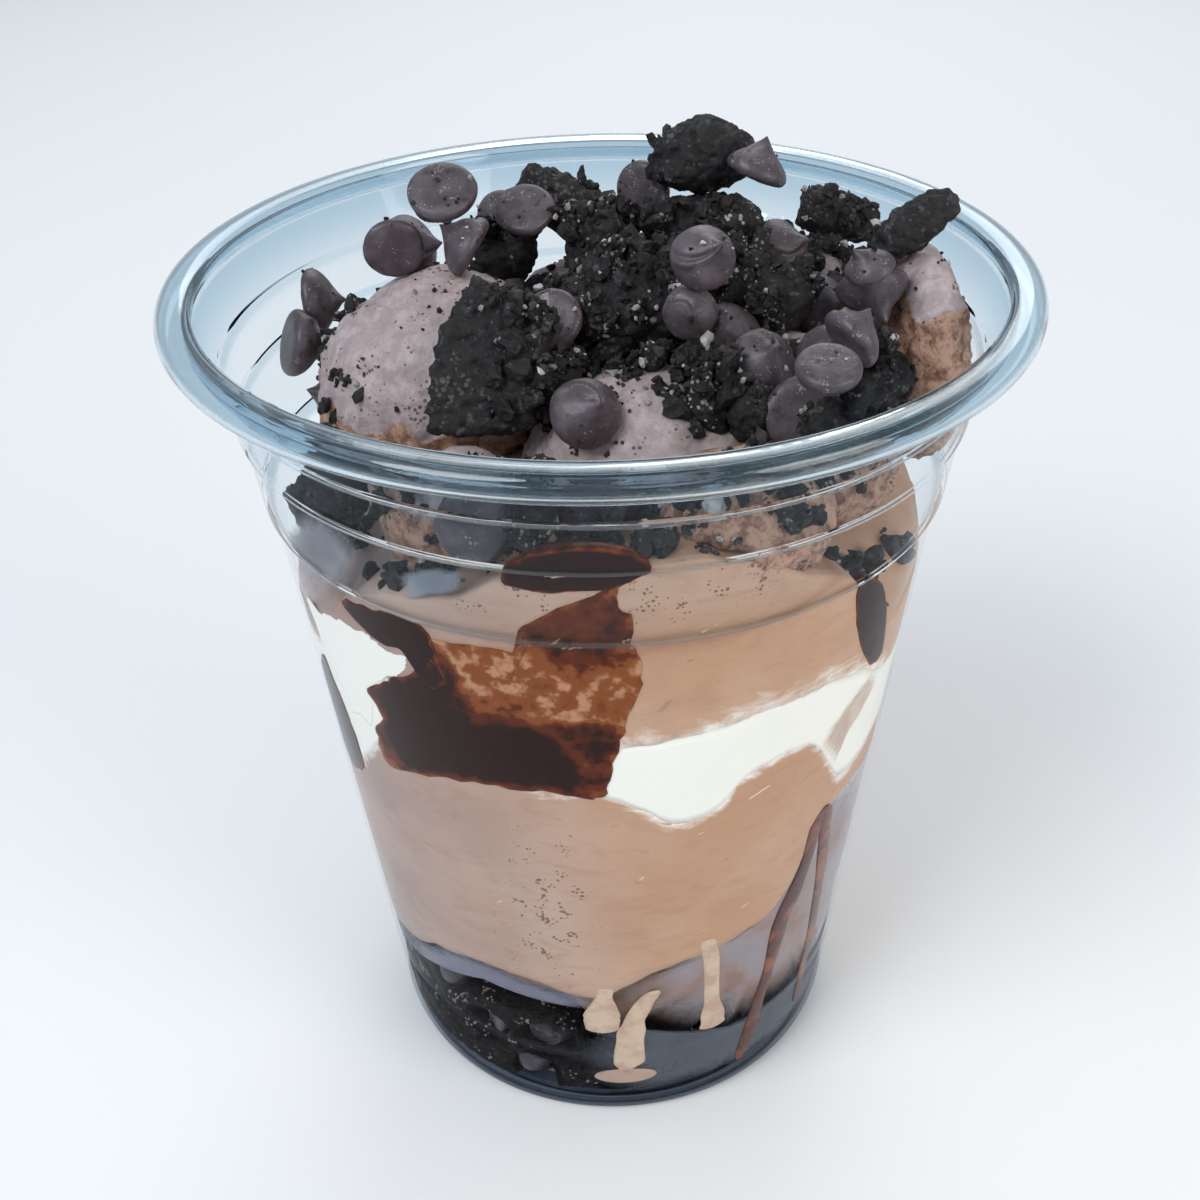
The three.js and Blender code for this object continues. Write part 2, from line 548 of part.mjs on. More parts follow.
// Lowest first. tilt leans a drop's tip, or a cookie's face, from straight up towards its heading.
const TOPPINGS = [
  { name: 'drop_side_left', x: -12.5, y: -35, tilt: 120, heading: 80 },
  { name: 'cookie_side_left', x: -29.5, y: -20, tilt: 50, heading: 225, spin: 20, width: 8.5, length: 7,
    seed: 31 },
  { name: 'drop_side_middle', x: -1.5, y: -32.5, tilt: 100, heading: 100, size: 0.92 },
  { name: 'cookie_side_right', x: 24, y: -27, tilt: 35, heading: 300, spin: 200, width: 8, length: 5.5,
    seed: 32 },
  { name: 'drop_left_low', x: -34.5, y: 12.5, tilt: 80, heading: 200 },
  { name: 'drop_left_dark', x: -34.5, y: 2.5, tilt: 110, heading: 20 },
  { name: 'drop_left_upright', x: -33, y: 9, tilt: 85, heading: 0 },
  { name: 'drop_front_round', x: -5, y: -7, tilt: 130, heading: 60, size: 0.95 },
  { name: 'cookie_front_big', x: -12, y: -15, tilt: 62, heading: 262, spin: 67, width: 17, length: 11.5,
    seed: 40 },
  { name: 'drop_front', x: -1.5, y: -22, tilt: 50, heading: 290, size: 0.98 },
  { name: 'drop_half', x: 20.5, y: -20, tilt: 115, heading: 90 },
  { name: 'drop_front_dark', x: 17.5, y: -16, tilt: 60, heading: 300 },
  { name: 'drop_right_flat', x: 22, y: -27.5, tilt: 165, heading: 90, size: 0.85 },
  { name: 'drop_right_dome', x: 24.5, y: -13, tilt: 25, heading: 250, size: 0.95 },
  { name: 'drop_front_swirl', x: 13.5, y: -10, tilt: 45, heading: 270, size: 1.05 },
  { name: 'cookie_stick', x: 1, y: -6.5, tilt: 75, heading: 250, spin: 20, width: 6, length: 2.8, thick: 0.5,
    ribbed: false, seed: 41 },
  { name: 'drop_right_back', x: 26.5, y: -17.5, tilt: 60, heading: 30, size: 0.9 },
  { name: 'drop_middle_dark', x: 9.5, y: -12.5, tilt: 70, heading: 270, size: 0.75 },
  { name: 'drop_right_fold', x: 30, y: -5.5, tilt: 140, heading: 280, size: 1.02 },
  { name: 'drop_right_swirl', x: 25.5, y: 1, tilt: 50, heading: 290, size: 0.92 },
  { name: 'drop_middle_side', x: 7, y: 7.5, tilt: 160, heading: 90, size: 0.8 },
  { name: 'drop_middle_swirl', x: 11, y: -11, tilt: 50, heading: 280, size: 0.9 },
  { name: 'drop_right_ridge', x: 22, y: 5, tilt: 60, heading: 330 },
  { name: 'drop_right_small', x: 28.5, y: -8.5, tilt: 20, heading: 200, size: 0.7 },
  { name: 'cookie_flat', x: -11.5, y: 13, tilt: 15, heading: 270, spin: 90, width: 8, length: 7, seed: 34 },
  { name: 'drop_back_curl', x: -15.5, y: 1, tilt: 60, heading: 170, size: 0.92 },
  { name: 'drop_back_ball', x: -21.5, y: 10, tilt: 60, heading: 330 },
  { name: 'drop_back_edge', x: -23.5, y: 5, tilt: 85, heading: 100, size: 0.9 },
  { name: 'cookie_upright', x: -0.5, y: 8.5, tilt: 75, heading: 235, spin: 90, width: 9, length: 6.5,
    seed: 44 },
  { name: 'drop_back_flat', x: -8.5, y: 11.5, tilt: 150, heading: 80, size: 0.92 },
  { name: 'drop_back_disc', x: -17.5, y: 6, tilt: 150, heading: 90, size: 1.02 },
  { name: 'drop_back_small', x: -12, y: 18.5, tilt: 70, heading: 270, size: 0.75 },
  { name: 'cookie_ridged_right', x: 29, y: 19.5, tilt: 30, heading: 60, spin: 190, width: 10, length: 6,
    seed: 45 },
  { name: 'cookie_far_right', x: 34.5, y: -0.5, lump: true, tilt: 35, heading: 180, width: 12.5, length: 5,
    height: 5, seed: 46 },
  { name: 'cookie_back_shard', x: -2.5, y: 17, tilt: 72, heading: 255, spin: -42, width: 15, length: 6.5,
    seed: 47 },
  { name: 'drop_back_round', x: 6, y: 19, tilt: 100, heading: 60, size: 0.9 },
  { name: 'cookie_top', x: 12.5, y: 15, lump: true, tilt: 20, heading: 268, width: 13, length: 8,
    height: 8.5, seed: 48 },
  { name: 'drop_top', x: 18.5, y: 8.5, tilt: 25, heading: 20, size: 0.92 },
];

// Crumbly lumps that fill the room between the pieces above, placed by their middle.
const FILLERS = [
  { name: 'cookie_side_front', x: -7, y: -36, z: 97, width: 5, length: 5, height: 8, seed: 33 },
  { name: 'cookie_front_filling', x: -4.5, y: -13, z: 98, width: 6, length: 8, height: 8, seed: 39 },
  { name: 'cookie_front_crumbs', x: 11.5, y: -17, z: 99, width: 6, length: 8, height: 9, seed: 38 },
  { name: 'cookie_front_dark', x: 16, y: -19, z: 99, width: 7, length: 7, height: 7, seed: 37 },
  { name: 'cookie_right_low', x: 29.5, y: -11, z: 98, width: 9, length: 9, height: 9, seed: 36 },
  { name: 'cookie_crumbled', x: 3, y: -2, z: 103.5, width: 19, length: 13, height: 10, seed: 35 },
  { name: 'cookie_filling', x: 18, y: -1, z: 104, width: 12, length: 11, height: 9, seed: 42 },
  { name: 'cookie_middle', x: 12.5, y: 12, z: 107, width: 15, length: 11, height: 9, seed: 43 },
];

// ---------------------------------------------------------------- assembly
function addContents() {
  const pads = FUDGE_PADS.map((pad) => ({ ...pad, solid: fudgePad(pad) }));
  const grownPads = FUDGE_PADS.map((pad) => fudgePad(pad, CLEARANCE));
  const room = cupRoom();
  const lessPads = (solid) => grownPads.reduce((rest, pad) => rest.subtract(pad), solid);
  const layers = [
    ['ice_cream_lower', lessPads(lowerSolid(0)), colours.iceCream],
    ['cream_layer', lessPads(creamSolid()), colours.cream],
    ['ice_cream_upper', lessPads(upperSolid(0)), colours.iceCream],
  ];
  addPart('cookie_heap', toGeometry(heapSolid()), colours.cookie);
  for (const [name, solid, material] of layers) {
    raiseSurface(addPart(name, toGeometry(solid), material).geometry);
  }
  for (const { name, solid } of pads) {
    raiseSurface(addPart(name, toGeometry(solid), colours.fudge).geometry);
  }

  occupied = upperSolid(CLEARANCE);
  for (const pad of grownPads) occupied = occupied.add(pad);
  for (const scoop of SCOOPS) {
    const solid = scoopSolid(scoop).intersect(room).subtract(occupied);
    raiseSurface(addPart(scoop.name, toGeometry(solid), colours.scoop).geometry);
    occupied = occupied.add(scoopSolid(scoop, CLEARANCE));
  }
}

function addToppings() {
  for (const topping of TOPPINGS) {
    if (topping.name.startsWith('drop')) {
      addTopping(dropGeometry(topping.size), colours.drop, topping);
    } else {
      addTopping(topping.lump ? lumpGeometry(topping) : waferGeometry(topping), colours.cookie, topping);
    }
  }
  for (const filler of FILLERS) addFiller(filler);
}

raiseSurface(addPart('cup', cupGeometry(), colours.cup).geometry);
addContents();
addToppings();

export default scene;
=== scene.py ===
"""Finishes an ice cream sundae in its clear cup.

While a piece is modelled its lengths are millimetres, and finish_piece turns them into metres.
Azimuths are degrees from +X towards +Y, so 270 is the sundae's front, 180 its left and 0 its right.
"""
import json
import math
import random

import bmesh
import bpy
import numpy as np
from mathutils import Euler, Matrix, Quaternion, Vector, noise
from mathutils.bvhtree import BVHTree

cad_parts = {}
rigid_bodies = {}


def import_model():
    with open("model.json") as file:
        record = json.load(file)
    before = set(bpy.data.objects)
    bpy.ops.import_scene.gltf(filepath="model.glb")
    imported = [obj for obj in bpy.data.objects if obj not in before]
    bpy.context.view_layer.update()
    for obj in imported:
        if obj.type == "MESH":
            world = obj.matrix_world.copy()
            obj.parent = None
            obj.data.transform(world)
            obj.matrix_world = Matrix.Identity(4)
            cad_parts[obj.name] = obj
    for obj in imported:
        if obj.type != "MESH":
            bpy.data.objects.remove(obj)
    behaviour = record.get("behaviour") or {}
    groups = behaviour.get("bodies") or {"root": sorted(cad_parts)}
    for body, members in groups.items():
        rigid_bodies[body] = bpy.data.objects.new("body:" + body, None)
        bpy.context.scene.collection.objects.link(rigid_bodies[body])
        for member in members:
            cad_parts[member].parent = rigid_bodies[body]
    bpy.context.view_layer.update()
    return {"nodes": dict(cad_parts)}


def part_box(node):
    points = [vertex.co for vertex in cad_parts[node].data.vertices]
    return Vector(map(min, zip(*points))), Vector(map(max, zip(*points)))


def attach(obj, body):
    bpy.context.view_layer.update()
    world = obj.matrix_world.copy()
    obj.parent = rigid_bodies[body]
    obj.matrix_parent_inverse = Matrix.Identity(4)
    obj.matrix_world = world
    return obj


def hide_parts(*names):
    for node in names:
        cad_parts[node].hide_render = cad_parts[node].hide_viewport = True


bl_info = {
    "name": "Ice Cream Sundae Cup",
    "version": (1, 0, 0),
    "blender": (4, 5, 0),
    "location": "View3D > Sidebar > Sundae",
    "description": "Models the cup, layers, scoops and toppings of a chocolate sundae",
    "category": "Object",
}

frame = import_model()
MM = 0.001


def srgb(red, green, blue):
    """A linear colour from screen values of 0 to 255."""
    def linear(value):
        value /= 255
        return value / 12.92 if value <= 0.04045 else ((value + 0.055) / 1.055) ** 2.4
    return (linear(red), linear(green), linear(blue), 1.0)


# The cup's and the layers' form
BASE_RADIUS = 30.4      # the tapered wall's radius, carried down to z = 0
WALL_TAPER = 0.1108     # radius gained for each millimetre of height
SHOULDER_HEIGHT = 83.3
RIM_HEIGHT = 104
STEPS = [(83.4, 84.7), (93.1, 94.1), (99, 100)]
SHOULDER = [(84.5, 40.5), (93, 41.6), (94, 42.3), (98.9, 42.8), (99.9, 43.5), (105, 45.7)]
FOOT_HEIGHT = 3.4
FOOT_RADIUS = 28.9
FOOT_INNER_RADIUS = 27.6
FLOOR_HEIGHT = 3.2
GROOVE_HEIGHT = 12.8
GROOVE_DEPTH = 0.35
CURL_RADIUS = 1.25
INTO_WALL = 0.12        # how far the contents reach into the wall, so that no air shows between
IN_FRONT = 0.1          # by how much fudge and drips lie outside what they cover
AHEAD = 0.02            # the same for thin films
BEHIND = -0.06          # and for films that lie behind the drips

DOME_HEIGHT = 91
CREAM_LOW = 60
CREAM_HIGH = 65
HEAP_HEIGHT = 11


def mix(low, high, share):
    return low + (high - low) * share


def clamp(value, low=0.0, high=1.0):
    return max(low, min(high, value))


def smooth(value, low, high):
    share = clamp((value - low) / (high - low))
    return share * share * (3 - 2 * share)


def around(pairs):
    """A value that runs smoothly round the cup through (azimuth, value) pairs."""
    count = len(pairs)

    def at(i):
        turns, place = divmod(i, count)
        return pairs[place][0] + 360 * turns, pairs[place][1]

    def slope(i):
        return (at(i + 1)[1] - at(i - 1)[1]) / (at(i + 1)[0] - at(i - 1)[0])

    def value(azimuth):
        wanted = pairs[0][0] + (azimuth - pairs[0][0]) % 360
        i = 0
        while at(i + 1)[0] <= wanted:
            i += 1
        (a0, v0), (a1, v1) = at(i), at(i + 1)
        share = (wanted - a0) / (a1 - a0)
        rise = (share - 1) * share * ((share - 1) * slope(i) + share * slope(i + 1)) * (a1 - a0)
        return mix(v0, v1, share * share * (3 - 2 * share)) + rise

    return value


def taper_radius(z):
    return BASE_RADIUS + WALL_TAPER * z


def outer_radius(z):
    """Outside radius of the cup's wall at a height."""
    points = [(2, taper_radius(2)), (SHOULDER_HEIGHT, taper_radius(SHOULDER_HEIGHT)), *SHOULDER]
    for (z0, r0), (z1, r1) in zip(points, points[1:]):
        if z <= z1:
            return mix(r0, r1, clamp((z - z0) / (z1 - z0)))
    return points[-1][1]


def inner_radius(z):
    return outer_radius(z) - bpy.context.scene.sundae_sizes.wall / MM


HEAP_EDGE = around([
    (20, 9), (70, 14), (130, 17), (180, 16), (217, 18), (245, 19.5), (258, 18.5), (264, 12), (270, 6.5),
    (300, 6), (330, 7)])
HEAP_REACH = around([
    (20, 0.86), (90, 0.93), (180, 0.97), (258, 0.97), (268, 0.86), (290, 0.74), (340, 0.76)])
LOWER_EDGE = around([
    (0, 45), (40, 32), (90, 24), (140, 20), (180, 18.5), (213, 21.5), (227, 25.5), (244, 27.3),
    (258, 25.8), (266, 25), (276, 28.6), (283, 30.6), (290, 31), (299, 33), (306, 34.8), (310.5, 38.5),
    (314, 44), (318, 47.6), (330, 48)])
CREAM_BOTTOM = around([
    (0, 57), (50, 54), (100, 57), (150, 52), (180, 47), (208, 49.9), (218, 56), (225.5, 61.4),
    (240, 63.5), (258, 62.5), (268, 61.7), (275, 59.4), (281, 56.3), (289, 57.4), (293.5, 60.8),
    (298.5, 62.2), (305, 62.4), (311, 60.4), (315.5, 55.4), (319, 52.4), (326, 52.3), (336, 53.8)])
CREAM_TOP = around([
    (0, 62), (50, 60), (100, 63), (150, 62), (180, 65), (206, 68.9), (221, 72.6), (231, 71.5),
    (245, 67), (258, 66), (271, 68.3), (281.5, 69.5), (295, 70.6), (316, 69.8), (329, 65.5)])
UPPER_EDGE = around([
    (0, 76), (40, 84), (90, 87), (130, 83), (165, 76), (185, 72), (201, 72.6), (218, 77.8),
    (225.5, 81.9), (235, 86.2), (246, 87.7), (256, 92), (264, 93.6), (282, 94.4), (291, 92.3),
    (298, 89.7), (310, 84.9), (319, 77.5), (325, 72.7)])


def wavy(azimuth, size, seed):
    """Small waves along an edge, so that it looks melted."""
    turn = math.radians(azimuth)
    place = Vector((math.cos(turn), math.sin(turn), seed)) * 9
    return size * (noise.noise(place) + 0.5 * noise.noise(place * 2.7))


def heap_top(azimuth, share):
    return mix(HEAP_HEIGHT, HEAP_EDGE(azimuth), smooth(share, 0.2, 0.9))


def lower_bottom(azimuth, share):
    edge = LOWER_EDGE(azimuth) + wavy(azimuth, 0.5, 1)
    return mix(heap_top(azimuth, share) + 0.2, edge, smooth(share, HEAP_REACH(azimuth) - 0.12, 1))


def cream_low(azimuth, share):
    return mix(CREAM_LOW, CREAM_BOTTOM(azimuth) + wavy(azimuth, 0.6, 2), share ** 3)


def cream_high(azimuth, share):
    return mix(CREAM_HIGH, CREAM_TOP(azimuth) + wavy(azimuth, 0.6, 3), share ** 3)


def upper_top(azimuth, share):
    return mix(DOME_HEIGHT, UPPER_EDGE(azimuth) + wavy(azimuth, 0.7, 4), share ** 2.4)


# Properties
def length(name, description, default, **limits):
    return bpy.props.FloatProperty(name=name, description=description, default=default,
                                   unit="LENGTH", **limits)


def colour(name, description, default):
    return bpy.props.FloatVectorProperty(name=name, description=description, subtype="COLOR",
                                         size=4, default=default)


class SundaeSizes(bpy.types.PropertyGroup):
    """Sizes that a user may change."""

    wall: length("Cup wall", "Thickness of the cup's plastic", 0.0005, min=0.0003, max=0.001)
    rim_radius: length("Rim radius", "Outer radius of the rolled rim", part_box("cup")[1][0])
    cup_height: length("Cup height", "Height of the rim above the foot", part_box("cup")[1][2])
    crumb_count: bpy.props.IntProperty(
        name="Crumbs", description="Number of loose cookie crumbs on the sundae", default=2600,
        min=0, max=6000)
    crumb_size: length("Crumb size", "Width of a middling crumb", 0.0007)
    cookie_detail: length("Cookie detail", "Width of the smallest relief on a cookie", 0.0003,
                          min=0.0002, max=0.001)


class SundaeColours(bpy.types.PropertyGroup):
    """Colours that a user may change."""

    plastic: colour("Plastic", "Tint of the clear cup near its rim", (0.71, 0.81, 0.87, 1))
    # Painted light: the two ice cream colours are a lit and a shaded copy, blended from the cup's right
    # to its left.
    ice_cream: colour("Ice cream", "Chocolate ice cream on the lit side", srgb(187, 146, 116))
    ice_cream_painted_shade: colour("Ice cream, cool side", "Chocolate ice cream away from the light",
                           srgb(160, 138, 131))
    scoop: colour("Scoop", "Smooth frosted surface of the scoops", srgb(184, 165, 164))
    scoop_inside: colour("Scoop, rough", "Torn, crumbly surface of the scoops",
                         srgb(196, 154, 130))
    cream: colour("Cream", "White cream layer", srgb(243, 241, 232))
    fudge: colour("Fudge", "Thick fudge", srgb(40, 20, 18))
    syrup: colour("Syrup", "Thin fudge with light through it", srgb(130, 72, 38))
    drop: colour("Chocolate drop", "Chocolate drops", srgb(72, 62, 66))
    cookie: colour("Cookie", "Dark chocolate cookie", srgb(33, 30, 31))


# Shaders
# Where a colour mix node has its sockets.
MIX_FACTOR, MIX_FIRST, MIX_SECOND, MIX_RESULT = 0, 6, 7, 2


class Shader:
    """Short calls that add nodes to the tree of a material or of a group."""

    def __init__(self, tree):
        self.tree = tree

    def add(self, kind, inputs=None, **settings):
        node = self.tree.nodes.new(kind)
        for key, value in settings.items():
            setattr(node, key, value)
        for key, value in (inputs or {}).items():
            if isinstance(value, bpy.types.NodeSocket):
                self.tree.links.new(value, node.inputs[key])
            else:
                node.inputs[key].default_value = value
        return node

    def streaks(self, vector, scale, distortion):
        """Smeared noise, drawn out sideways round the cup."""
        flat = self.add("ShaderNodeVectorMath", {0: vector, 1: (1, 1, 2.4)}, operation="MULTIPLY")
        inputs = {"Vector": flat.outputs[0], "Scale": scale, "Detail": 6.0, "Roughness": 0.64,
                  "Distortion": distortion}
        return self.add("ShaderNodeTexNoise", inputs).outputs["Fac"]

    def noise(self, vector, scale, detail=3.0, roughness=0.5):
        inputs = {"Vector": vector, "Scale": scale, "Detail": detail, "Roughness": roughness}
        return self.add("ShaderNodeTexNoise", inputs).outputs["Fac"]

    def cells(self, vector, scale):
        inputs = {"Vector": vector, "Scale": scale}
        return self.add("ShaderNodeTexVoronoi", inputs).outputs["Distance"]

    def math(self, operation, first, second):
        return self.add("ShaderNodeMath", {0: first, 1: second}, operation=operation).outputs[0]

    def between(self, value, low, high, to_low=0.0, to_high=1.0):
        """Maps low to high onto to_low to to_high, smoothly, and clamps the rest."""
        inputs = {"Value": value, "From Min": low, "From Max": high, "To Min": to_low,
                  "To Max": to_high}
        node = self.add("ShaderNodeMapRange", inputs, interpolation_type="SMOOTHSTEP")
        return node.outputs["Result"]

    def blend(self, factor, first, second):
        inputs = {MIX_FACTOR: factor, MIX_FIRST: first, MIX_SECOND: second}
        return self.add("ShaderNodeMix", inputs, data_type="RGBA").outputs[MIX_RESULT]

    def shade(self, value, low, high, first, second):
        """Runs from the first colour to the second as a value goes from low to high."""
        return self.blend(self.between(value, low, high), first, second)

    def axis(self, vector, letter):
        return self.add("ShaderNodeSeparateXYZ", {0: vector}).outputs[letter]

    def attribute(self, name):
        return self.add("ShaderNodeAttribute", attribute_name=name).outputs["Fac"]

    def bump(self, height, depth, strength):
        inputs = {"Height": height, "Distance": depth, "Strength": strength}
        return self.add("ShaderNodeBump", inputs).outputs["Normal"]

    def specks(self, vector, scale, amount):
        inputs = {"Vector": vector, "Scale": scale, "Amount": amount}
        return self.add("ShaderNodeGroup", inputs, node_tree=speck_group()).outputs["Mask"]

    def grain(self, vector, scale):
        """The grain's outputs: Height, and Shade, a painted shade that darkens the hollows."""
        inputs = {"Vector": vector, "Scale": scale}
        return self.add("ShaderNodeGroup", inputs, node_tree=grain_group()).outputs


def new_material(name):
    """An empty material, the Shader that fills it, and the place on the piece."""
    material = bpy.data.materials.new(name)
    material.use_nodes = True
    material.node_tree.nodes.clear()
    shader = Shader(material.node_tree)
    return material, shader, shader.add("ShaderNodeTexCoord").outputs["Object"]


def end_with(shader, surface):
    output = shader.add("ShaderNodeOutputMaterial")
    shader.tree.links.new(surface, output.inputs["Surface"])


def principled(shader, colour, roughness, relief=None, **inputs):
    """A Principled BSDF's output; underscores in the names of inputs stand for spaces.

    relief is a height, the depth in metres that it stands for, and its strength.
    """
    named = {key.replace("_", " "): value for key, value in inputs.items()}
    named.update({"Base Color": colour, "Roughness": roughness})
    if relief:
        named["Normal"] = shader.bump(*relief)
    return shader.add("ShaderNodeBsdfPrincipled", named).outputs["BSDF"]


def surface(shader, colour, roughness, relief=None, **inputs):
    """Ends a material with a Principled BSDF."""
    end_with(shader, principled(shader, colour, roughness, relief, **inputs))


def named_group(name, inputs, outputs, fill):
    """The node group of a name, filled by fill(shader, start, end) when it is first asked for."""
    if name not in bpy.data.node_groups:
        group = bpy.data.node_groups.new(name, "ShaderNodeTree")
        for socket_name, kind, default in inputs:
            socket = group.interface.new_socket(socket_name, in_out="INPUT", socket_type=kind)
            if default is not None:
                socket.default_value = default
        for socket_name in outputs:
            group.interface.new_socket(socket_name, in_out="OUTPUT", socket_type="NodeSocketFloat")
        shader = Shader(group)
        fill(shader, shader.add("NodeGroupInput").outputs, shader.add("NodeGroupOutput").inputs)
    return bpy.data.node_groups[name]


def speck_group():
    """Small scattered specks: crumbs, pinholes or dust, of a size, and as thick as asked."""
    def fill(shader, start, end):
        distance = shader.cells(start["Vector"], start["Scale"])
        patch = shader.noise(start["Vector"], shader.math("MULTIPLY", start["Scale"], 0.22), 2.0)
        reach = shader.math("MULTIPLY", shader.between(patch, 0.42, 0.72), start["Amount"])
        near = shader.math("SUBTRACT", reach, distance)
        shader.tree.links.new(shader.between(near, 0.0, 0.08), end["Mask"])

    inputs = [("Vector", "NodeSocketVector", None), ("Scale", "NodeSocketFloat", 900.0),
              ("Amount", "NodeSocketFloat", 0.5)]
    return named_group("Specks", inputs, ["Mask"], fill)


def grain_group():
    """Crumbly grain: a height, and a painted shade that darkens the hollows."""
    def fill(shader, start, end):
        rough = shader.noise(start["Vector"], start["Scale"], 5.0, 0.65)
        cells = shader.cells(start["Vector"], shader.math("MULTIPLY", start["Scale"], 0.7))
        height = shader.math("SUBTRACT", rough, shader.math("MULTIPLY", cells, 0.6))
        shader.tree.links.new(height, end["Height"])
        shader.tree.links.new(shader.between(height, -0.15, 0.55), end["Shade"])

    inputs = [("Vector", "NodeSocketVector", None), ("Scale", "NodeSocketFloat", 1200.0)]
    return named_group("Grain", inputs, ["Height", "Shade"], fill)


def clear_plastic(name, tint, ahead, slanted):
    """Thin clear plastic, bluer towards the rim, that shines where it is seen at a slant.

    ahead and slanted are the shares of light thrown back when seen from ahead and edge on.
    """
    material, shader, place = new_material(name)
    gathered = shader.between(shader.axis(place, "Z"), 0.097, 0.1055)
    ripple = shader.bump(shader.noise(place, 70.0, 1.0), 0.0005, 0.35)
    shine = principled(shader, (0.9, 0.95, 1, 1), 0.04, Metallic=1.0, Normal=ripple)
    colour = shader.blend(gathered, tint, bpy.context.scene.sundae_colours.plastic)
    clear = shader.add("ShaderNodeBsdfTransparent", {"Color": colour}).outputs["BSDF"]
    slant = shader.add("ShaderNodeLayerWeight", {"Blend": 0.5, "Normal": ripple}).outputs["Facing"]
    share = shader.between(shader.math("POWER", slant, 6.0), 0.0, 1.0, ahead, slanted)
    mixed = shader.add("ShaderNodeMixShader", {0: share, 1: clear, 2: shine})
    end_with(shader, mixed.outputs["Shader"])
    return material


def rim_material():
    """The solid, glassy plastic of the rolled rim and of the steps."""
    material, shader, place = new_material("rim_plastic")
    surface(shader, bpy.context.scene.sundae_colours.plastic, 0.025,
            (shader.noise(place, 70.0, 1.0), 0.0005, 0.25), IOR=1.4, Transmission_Weight=1.0)
    return material


def ice_cream_material():
    """Melting chocolate ice cream, with painted light: warm and lighter on the lit right, greyer in
    painted shade on the left.
    """
    colours = bpy.context.scene.sundae_colours
    material, shader, place = new_material("ice_cream")
    # Painted light and shade: lit, warmer ice cream on the right and shaded, greyer ice cream on the
    # left.
    base = shader.shade(shader.axis(place, "X"), -0.03, 0.012, colours.ice_cream_painted_shade,
                        colours.ice_cream)
    cloud = shader.between(shader.noise(place, 60.0, 3.0), 0.35, 0.7)
    pale = shader.blend(shader.math("MULTIPLY", cloud, 0.3), base, srgb(214, 184, 164))
    frost = shader.math("MULTIPLY", shader.attribute("pinholes"), 0.4)
    frosted = shader.blend(frost, pale, srgb(206, 186, 174))
    smear = shader.streaks(place, 150.0, 1.2)
    veined = shader.blend(shader.between(smear, 0.46, 0.7, 0.0, 0.26), frosted, srgb(160, 114, 90))
    # Painted shade: a darker line along the crease.
    creased = shader.blend(shader.math("MULTIPLY", shader.attribute("crease"), 0.5), veined,
                           srgb(150, 104, 82))
    meeting = shader.math("ADD", shader.attribute("creamy"), shader.math("MULTIPLY", smear, 1.1))
    creamed = shader.shade(meeting, 1.26, 1.72, creased, srgb(246, 240, 232))
    amount = shader.between(shader.attribute("pinholes"), 0.0, 1.0, 0.15, 0.68)
    holes = shader.specks(place, 2000.0, amount)
    # Painted shade: the pinholes are darkened as if shade lay in them.
    pitted = shader.blend(shader.math("MULTIPLY", holes, 0.75), creamed, srgb(98, 66, 54))
    surface(shader, pitted, 0.45, (shader.math("SUBTRACT", smear, holes), 0.0003, 0.5),
            Specular_IOR_Level=0.25)
    return material


def scoop_material():
    """Scooped ice cream: frosted and lilac where it lay smooth, orange-brown where it tore, with
    painted shade in the hollows of its relief.
    """
    colours = bpy.context.scene.sundae_colours
    material, shader, place = new_material("scooped_ice_cream")
    rough = shader.noise(place, 620.0, 5.0, 0.7)
    patches = shader.noise(place, 95.0, 4.0, 0.6)
    torn = shader.between(shader.math("ADD", shader.attribute("torn"), patches), 0.75, 1.15)
    frost = shader.shade(patches, 0.35, 0.7, colours.scoop, srgb(194, 179, 180))
    # Painted shade: the smooth surface darkens where the rough relief is low.
    shaded = shader.blend(shader.between(rough, 0.42, 0.62, 0.45, 0.0), frost, srgb(138, 118, 116))
    # Painted shade: the torn surface darkens to dark brown where the rough relief is low.
    inside = shader.shade(rough, 0.38, 0.58, srgb(132, 94, 76), colours.scoop_inside)
    base = shader.blend(torn, shaded, inside)
    specks = shader.specks(place, 1500.0, 0.42)
    dotted = shader.blend(shader.math("MULTIPLY", specks, 0.8), base, srgb(62, 46, 44))
    relief = shader.math("MULTIPLY", rough, shader.between(torn, 0.0, 1.0, 0.6, 1.8))
    surface(shader, dotted, 0.5, (relief, 0.0006, 0.7), Specular_IOR_Level=0.4)
    return material


def cream_material():
    """White cream, streaked with chocolate where it meets the ice cream."""
    material, shader, place = new_material("white_cream")
    shadow = shader.between(shader.noise(place, 90.0, 3.0), 0.4, 0.75)
    base = shader.blend(shader.math("MULTIPLY", shadow, 0.25), bpy.context.scene.sundae_colours.cream,
                        srgb(232, 228, 220))
    meeting = shader.math("ADD", shader.attribute("meeting"), shader.streaks(place, 170.0, 1.0))
    streaked = shader.shade(meeting, 1.42, 1.75, base, srgb(196, 158, 134))
    surface(shader, streaked, 0.4, (shader.noise(place, 260.0), 0.0002, 0.4), Specular_IOR_Level=0.25)
    return material


def fudge_material():
    """Fudge: nearly black where it is thick, then amber, and paler still where it is a film."""
    colours = bpy.context.scene.sundae_colours
    material, shader, place = new_material("fudge")
    mottle = shader.noise(place, 460.0, 3.0, 0.55)
    spread = shader.attribute("thin")
    uneven = shader.math("MULTIPLY", shader.between(mottle, 0.3, 0.7, -0.5, 0.4),
                         shader.between(spread, 0.0, 0.8, 0.25, 0.75))
    thin = shader.math("ADD", spread, uneven)
    brown = shader.shade(thin, 0.1, 0.42, colours.fudge, srgb(90, 40, 22))
    amber = shader.shade(thin, 0.42, 0.72, brown, colours.syrup)
    film = shader.shade(thin, 0.84, 1.2, amber, srgb(180, 132, 100))
    surface(shader, film, 0.3, (mottle, 0.0002, 0.25), Specular_IOR_Level=0.12)
    return material


